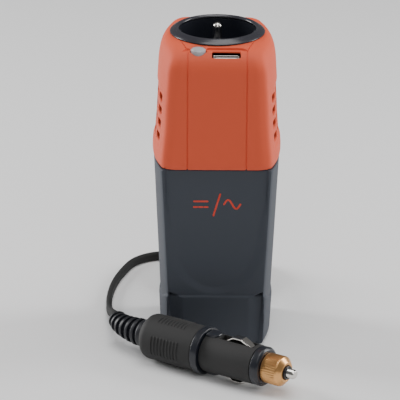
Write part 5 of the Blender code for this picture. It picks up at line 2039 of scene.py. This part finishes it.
    def boot_line(self) -> list[Vector]:
        """Middle line of the boot, from where the lead enters it round to the handle."""
        back = Vector(self.boot_start)
        along = Vector(self.plug.axis.along)
        front = Vector(self.plug.axis.origin) - along * 0.3
        inward = Vector(self.boot_heading).normalized()
        span = (front - back).length
        line = []
        for t in np.linspace(0, 1, self.boot_steps + 1).tolist():
            weights = (2 * t**3 - 3 * t**2 + 1, t**3 - 2 * t**2 + t, -2 * t**3 + 3 * t**2, t**3 - t**2)
            start = weights[0] * back + weights[1] * inward * span
            line.append(start + weights[2] * front + weights[3] * along * span)
        return line

    def boot(self) -> bpy.types.Object:
        """Ribbed boot that carries the lead's bend into the handle.

        Returns:
            The boot, its ribs part of the same piece.
        """
        line = self.boot_line()
        rings = []
        last = self.boot_steps
        step_start, step_end = 0.86, 0.93
        angles = np.linspace(0, math.tau, 48, endpoint=False).tolist()
        for i, t in enumerate(np.linspace(0, 1, last + 1).tolist()):
            core = 3.9 + 2.3 * t
            if t > step_start:
                core = 5.9 + 1.4 * float(smoothstep(t, step_start, step_end))
            tangent = (line[min(i + 1, last)] - line[max(i - 1, 0)]).normalized()
            side = tangent.cross(Vector((0, 0, 1))).normalized()
            lift = side.cross(tangent)
            ring = [line[i] + core * (math.cos(a) * side + math.sin(a) * lift) for a in angles]
            rings.append(np.array(ring))
        core_piece = loft("boot_core", rings, Look.BOOT, sharp=40.0)
        radius, half = 5.4, 0.72
        disc_profile = fillet(rod(radius, half, -half), 0.22, False, 3)
        disc = lathe("boot_disc", disc_profile, Look.BOOT, Axis(), 48)
        path = path_object("boot_path", [tuple(point) for point in line[2:50]])
        values = {"Path": path, "Count": 6, "First": 0.93, "Last": 1.34}
        discs = path_repeat().run("boot_discs", disc, Look.BOOT, values)
        bpy.data.objects.remove(path, do_unlink=True)
        boot = join("boot_ribbed", [core_piece, discs], 40.0)
        return publish(boot, "housing", "cord_rubber", "plug_boot")


# --- Inner parts ------------------------------------------------------------------------


class InnerParts:
    """Frame nodes that keep their own shape, each with its finish."""

    looks: dict[str, Look] = {
        "contact_carrier": Look.INSERT,
        "shutter": Look.INSERT,
        "shutter_spring": Look.STEEL,
        "line_contact": Look.BRASS,
        "neutral_contact": Look.BRASS,
        "tact_switch": Look.CHIP,
        "status_led": Look.LED,
        "control_board": Look.BOARD,
        "main_board": Look.BOARD,
        "transformer_core": Look.FERRITE,
        "transformer_winding": Look.WINDING,
        "input_capacitor_1": Look.SLEEVE,
        "input_capacitor_2": Look.SLEEVE,
        "bus_capacitor": Look.SLEEVE,
        "heat_sink_1": Look.SINK,
        "heat_sink_2": Look.SINK,
        "fan_frame": Look.FAN,
        "fan_rotor": Look.FAN,
        "plug_fuse": Look.GLASS,
        "tip_spring": Look.STEEL,
    }

    def build(self) -> None:
        """Gives each node its material."""
        dressed = dict(self.looks)
        for i in range(1, 5):
            dressed[f"power_transistor_{i}"] = Look.CHIP
            dressed[f"housing_screw_{i}"] = Look.STEEL
        for name, look in dressed.items():
            node = frame["nodes"][name]
            node.data.materials.clear()
            node.data.materials.append(look.material())
            LOG.info("%s is finished in %s", name, look.value.name)


# --- Studio -----------------------------------------------------------------------------


def stand(name: str, data: bpy.types.ID, place: Vector, aim: Triple, roll: float = 0.0) -> bpy.types.Object:
    """Puts a camera or a light in the scene.

    Args:
        name: Its name.
        data: Its data.
        place: Where it stands, in metres.
        aim: Point that it faces.
        roll: Turn about its line of sight, in radians.

    Returns:
        The object.
    """
    obj = bpy.data.objects.new(name, data)
    bpy.context.scene.collection.objects.link(obj)
    turn = (Vector(aim) - place).to_track_quat("-Z", "Y").to_matrix().to_4x4()
    obj.matrix_world = Matrix.Translation(place) @ turn @ Matrix.Rotation(roll, 4, "Z")
    return obj


@dataclass
class Studio:
    """Pale floor, soft light and the camera."""

    distance: float = 1.61
    height: float = 0.6779
    aim: Triple = (-0.0085, 0.0, 0.0713)
    lens: float = 293.5
    roll: float = 0.0065
    lit: Triple = (0.0, 0.0, 0.08)
    floor_size: float = 6.0
    floor_gap: float = 0.0002
    # name; place; width and height, in metres; power in watts
    lights: tuple = (
        ("top_light", (0.1, -0.1, 1.3), (1.0, 0.8), 10.5),
        ("front_light", (0.15, -1.3, 1.2), (0.9, 0.6), 5.0),
        ("right_light", (1.1, 0.25, 0.45), (0.35, 1.0), 12.0),
        ("left_light", (-1.1, 0.45, 0.45), (0.35, 1.0), 16.0),
    )

    def camera(self) -> None:
        """Places the camera in front of the object, above it and looking down."""
        data = bpy.data.cameras.new("camera")
        data.lens = self.lens
        data.sensor_width = 36.0
        data.clip_end = 50.0
        place = Vector((self.aim[0], -self.distance, self.height))
        bpy.context.scene.camera = stand("camera", data, place, self.aim, self.roll)

    def softbox(self, name: str, place: Triple, size: Pair, power: float) -> None:
        """Adds one rectangular light.

        Args:
            name: Name of the light.
            place: Its place, in metres.
            size: Its width and height, in metres.
            power: Its power, in watts.
        """
        data = bpy.data.lights.new(name, "AREA")
        data.shape = "RECTANGLE"
        data.size, data.size_y = size
        data.energy = power
        stand(name, data, Vector(place), self.lit)

    def floor(self) -> None:
        """Lays the floor."""
        bpy.ops.mesh.primitive_plane_add(size=self.floor_size, location=(0.0, 0.0, -self.floor_gap))
        floor = bpy.context.object
        floor.name = "studio_floor"
        made, _, shader = new_material("studio_floor")
        shader.inputs["Base Color"].default_value = (0.86, 0.86, 0.86, 1.0)
        shader.inputs["Roughness"].default_value = 0.85
        shader.inputs["Specular IOR Level"].default_value = 0.1
        floor.data.materials.append(made)

    def build(self) -> None:
        """Makes the studio."""
        self.camera()
        self.floor()
        world = bpy.data.worlds.new("studio")
        world.use_nodes = True
        background = world.node_tree.nodes["Background"]
        background.inputs["Color"].default_value = (1.0, 1.0, 1.0, 1.0)
        background.inputs["Strength"].default_value = 0.15
        bpy.context.scene.world = world
        for light in self.lights:
            self.softbox(*light)


def main() -> None:
    """Builds every piece in order."""
    logging.basicConfig(level=logging.INFO, format="%(message)s")
    Studio().build()
    plug = CarPlug()
    plug.build()
    Lead(plug).build()
    housing = LowerHousing()
    housing.build()
    Badge(housing).build()
    TopCover().build()
    Foot().build()
    Socket().build()
    Controls().build()
    InnerParts().build()


if __name__ == "__main__":
    main()
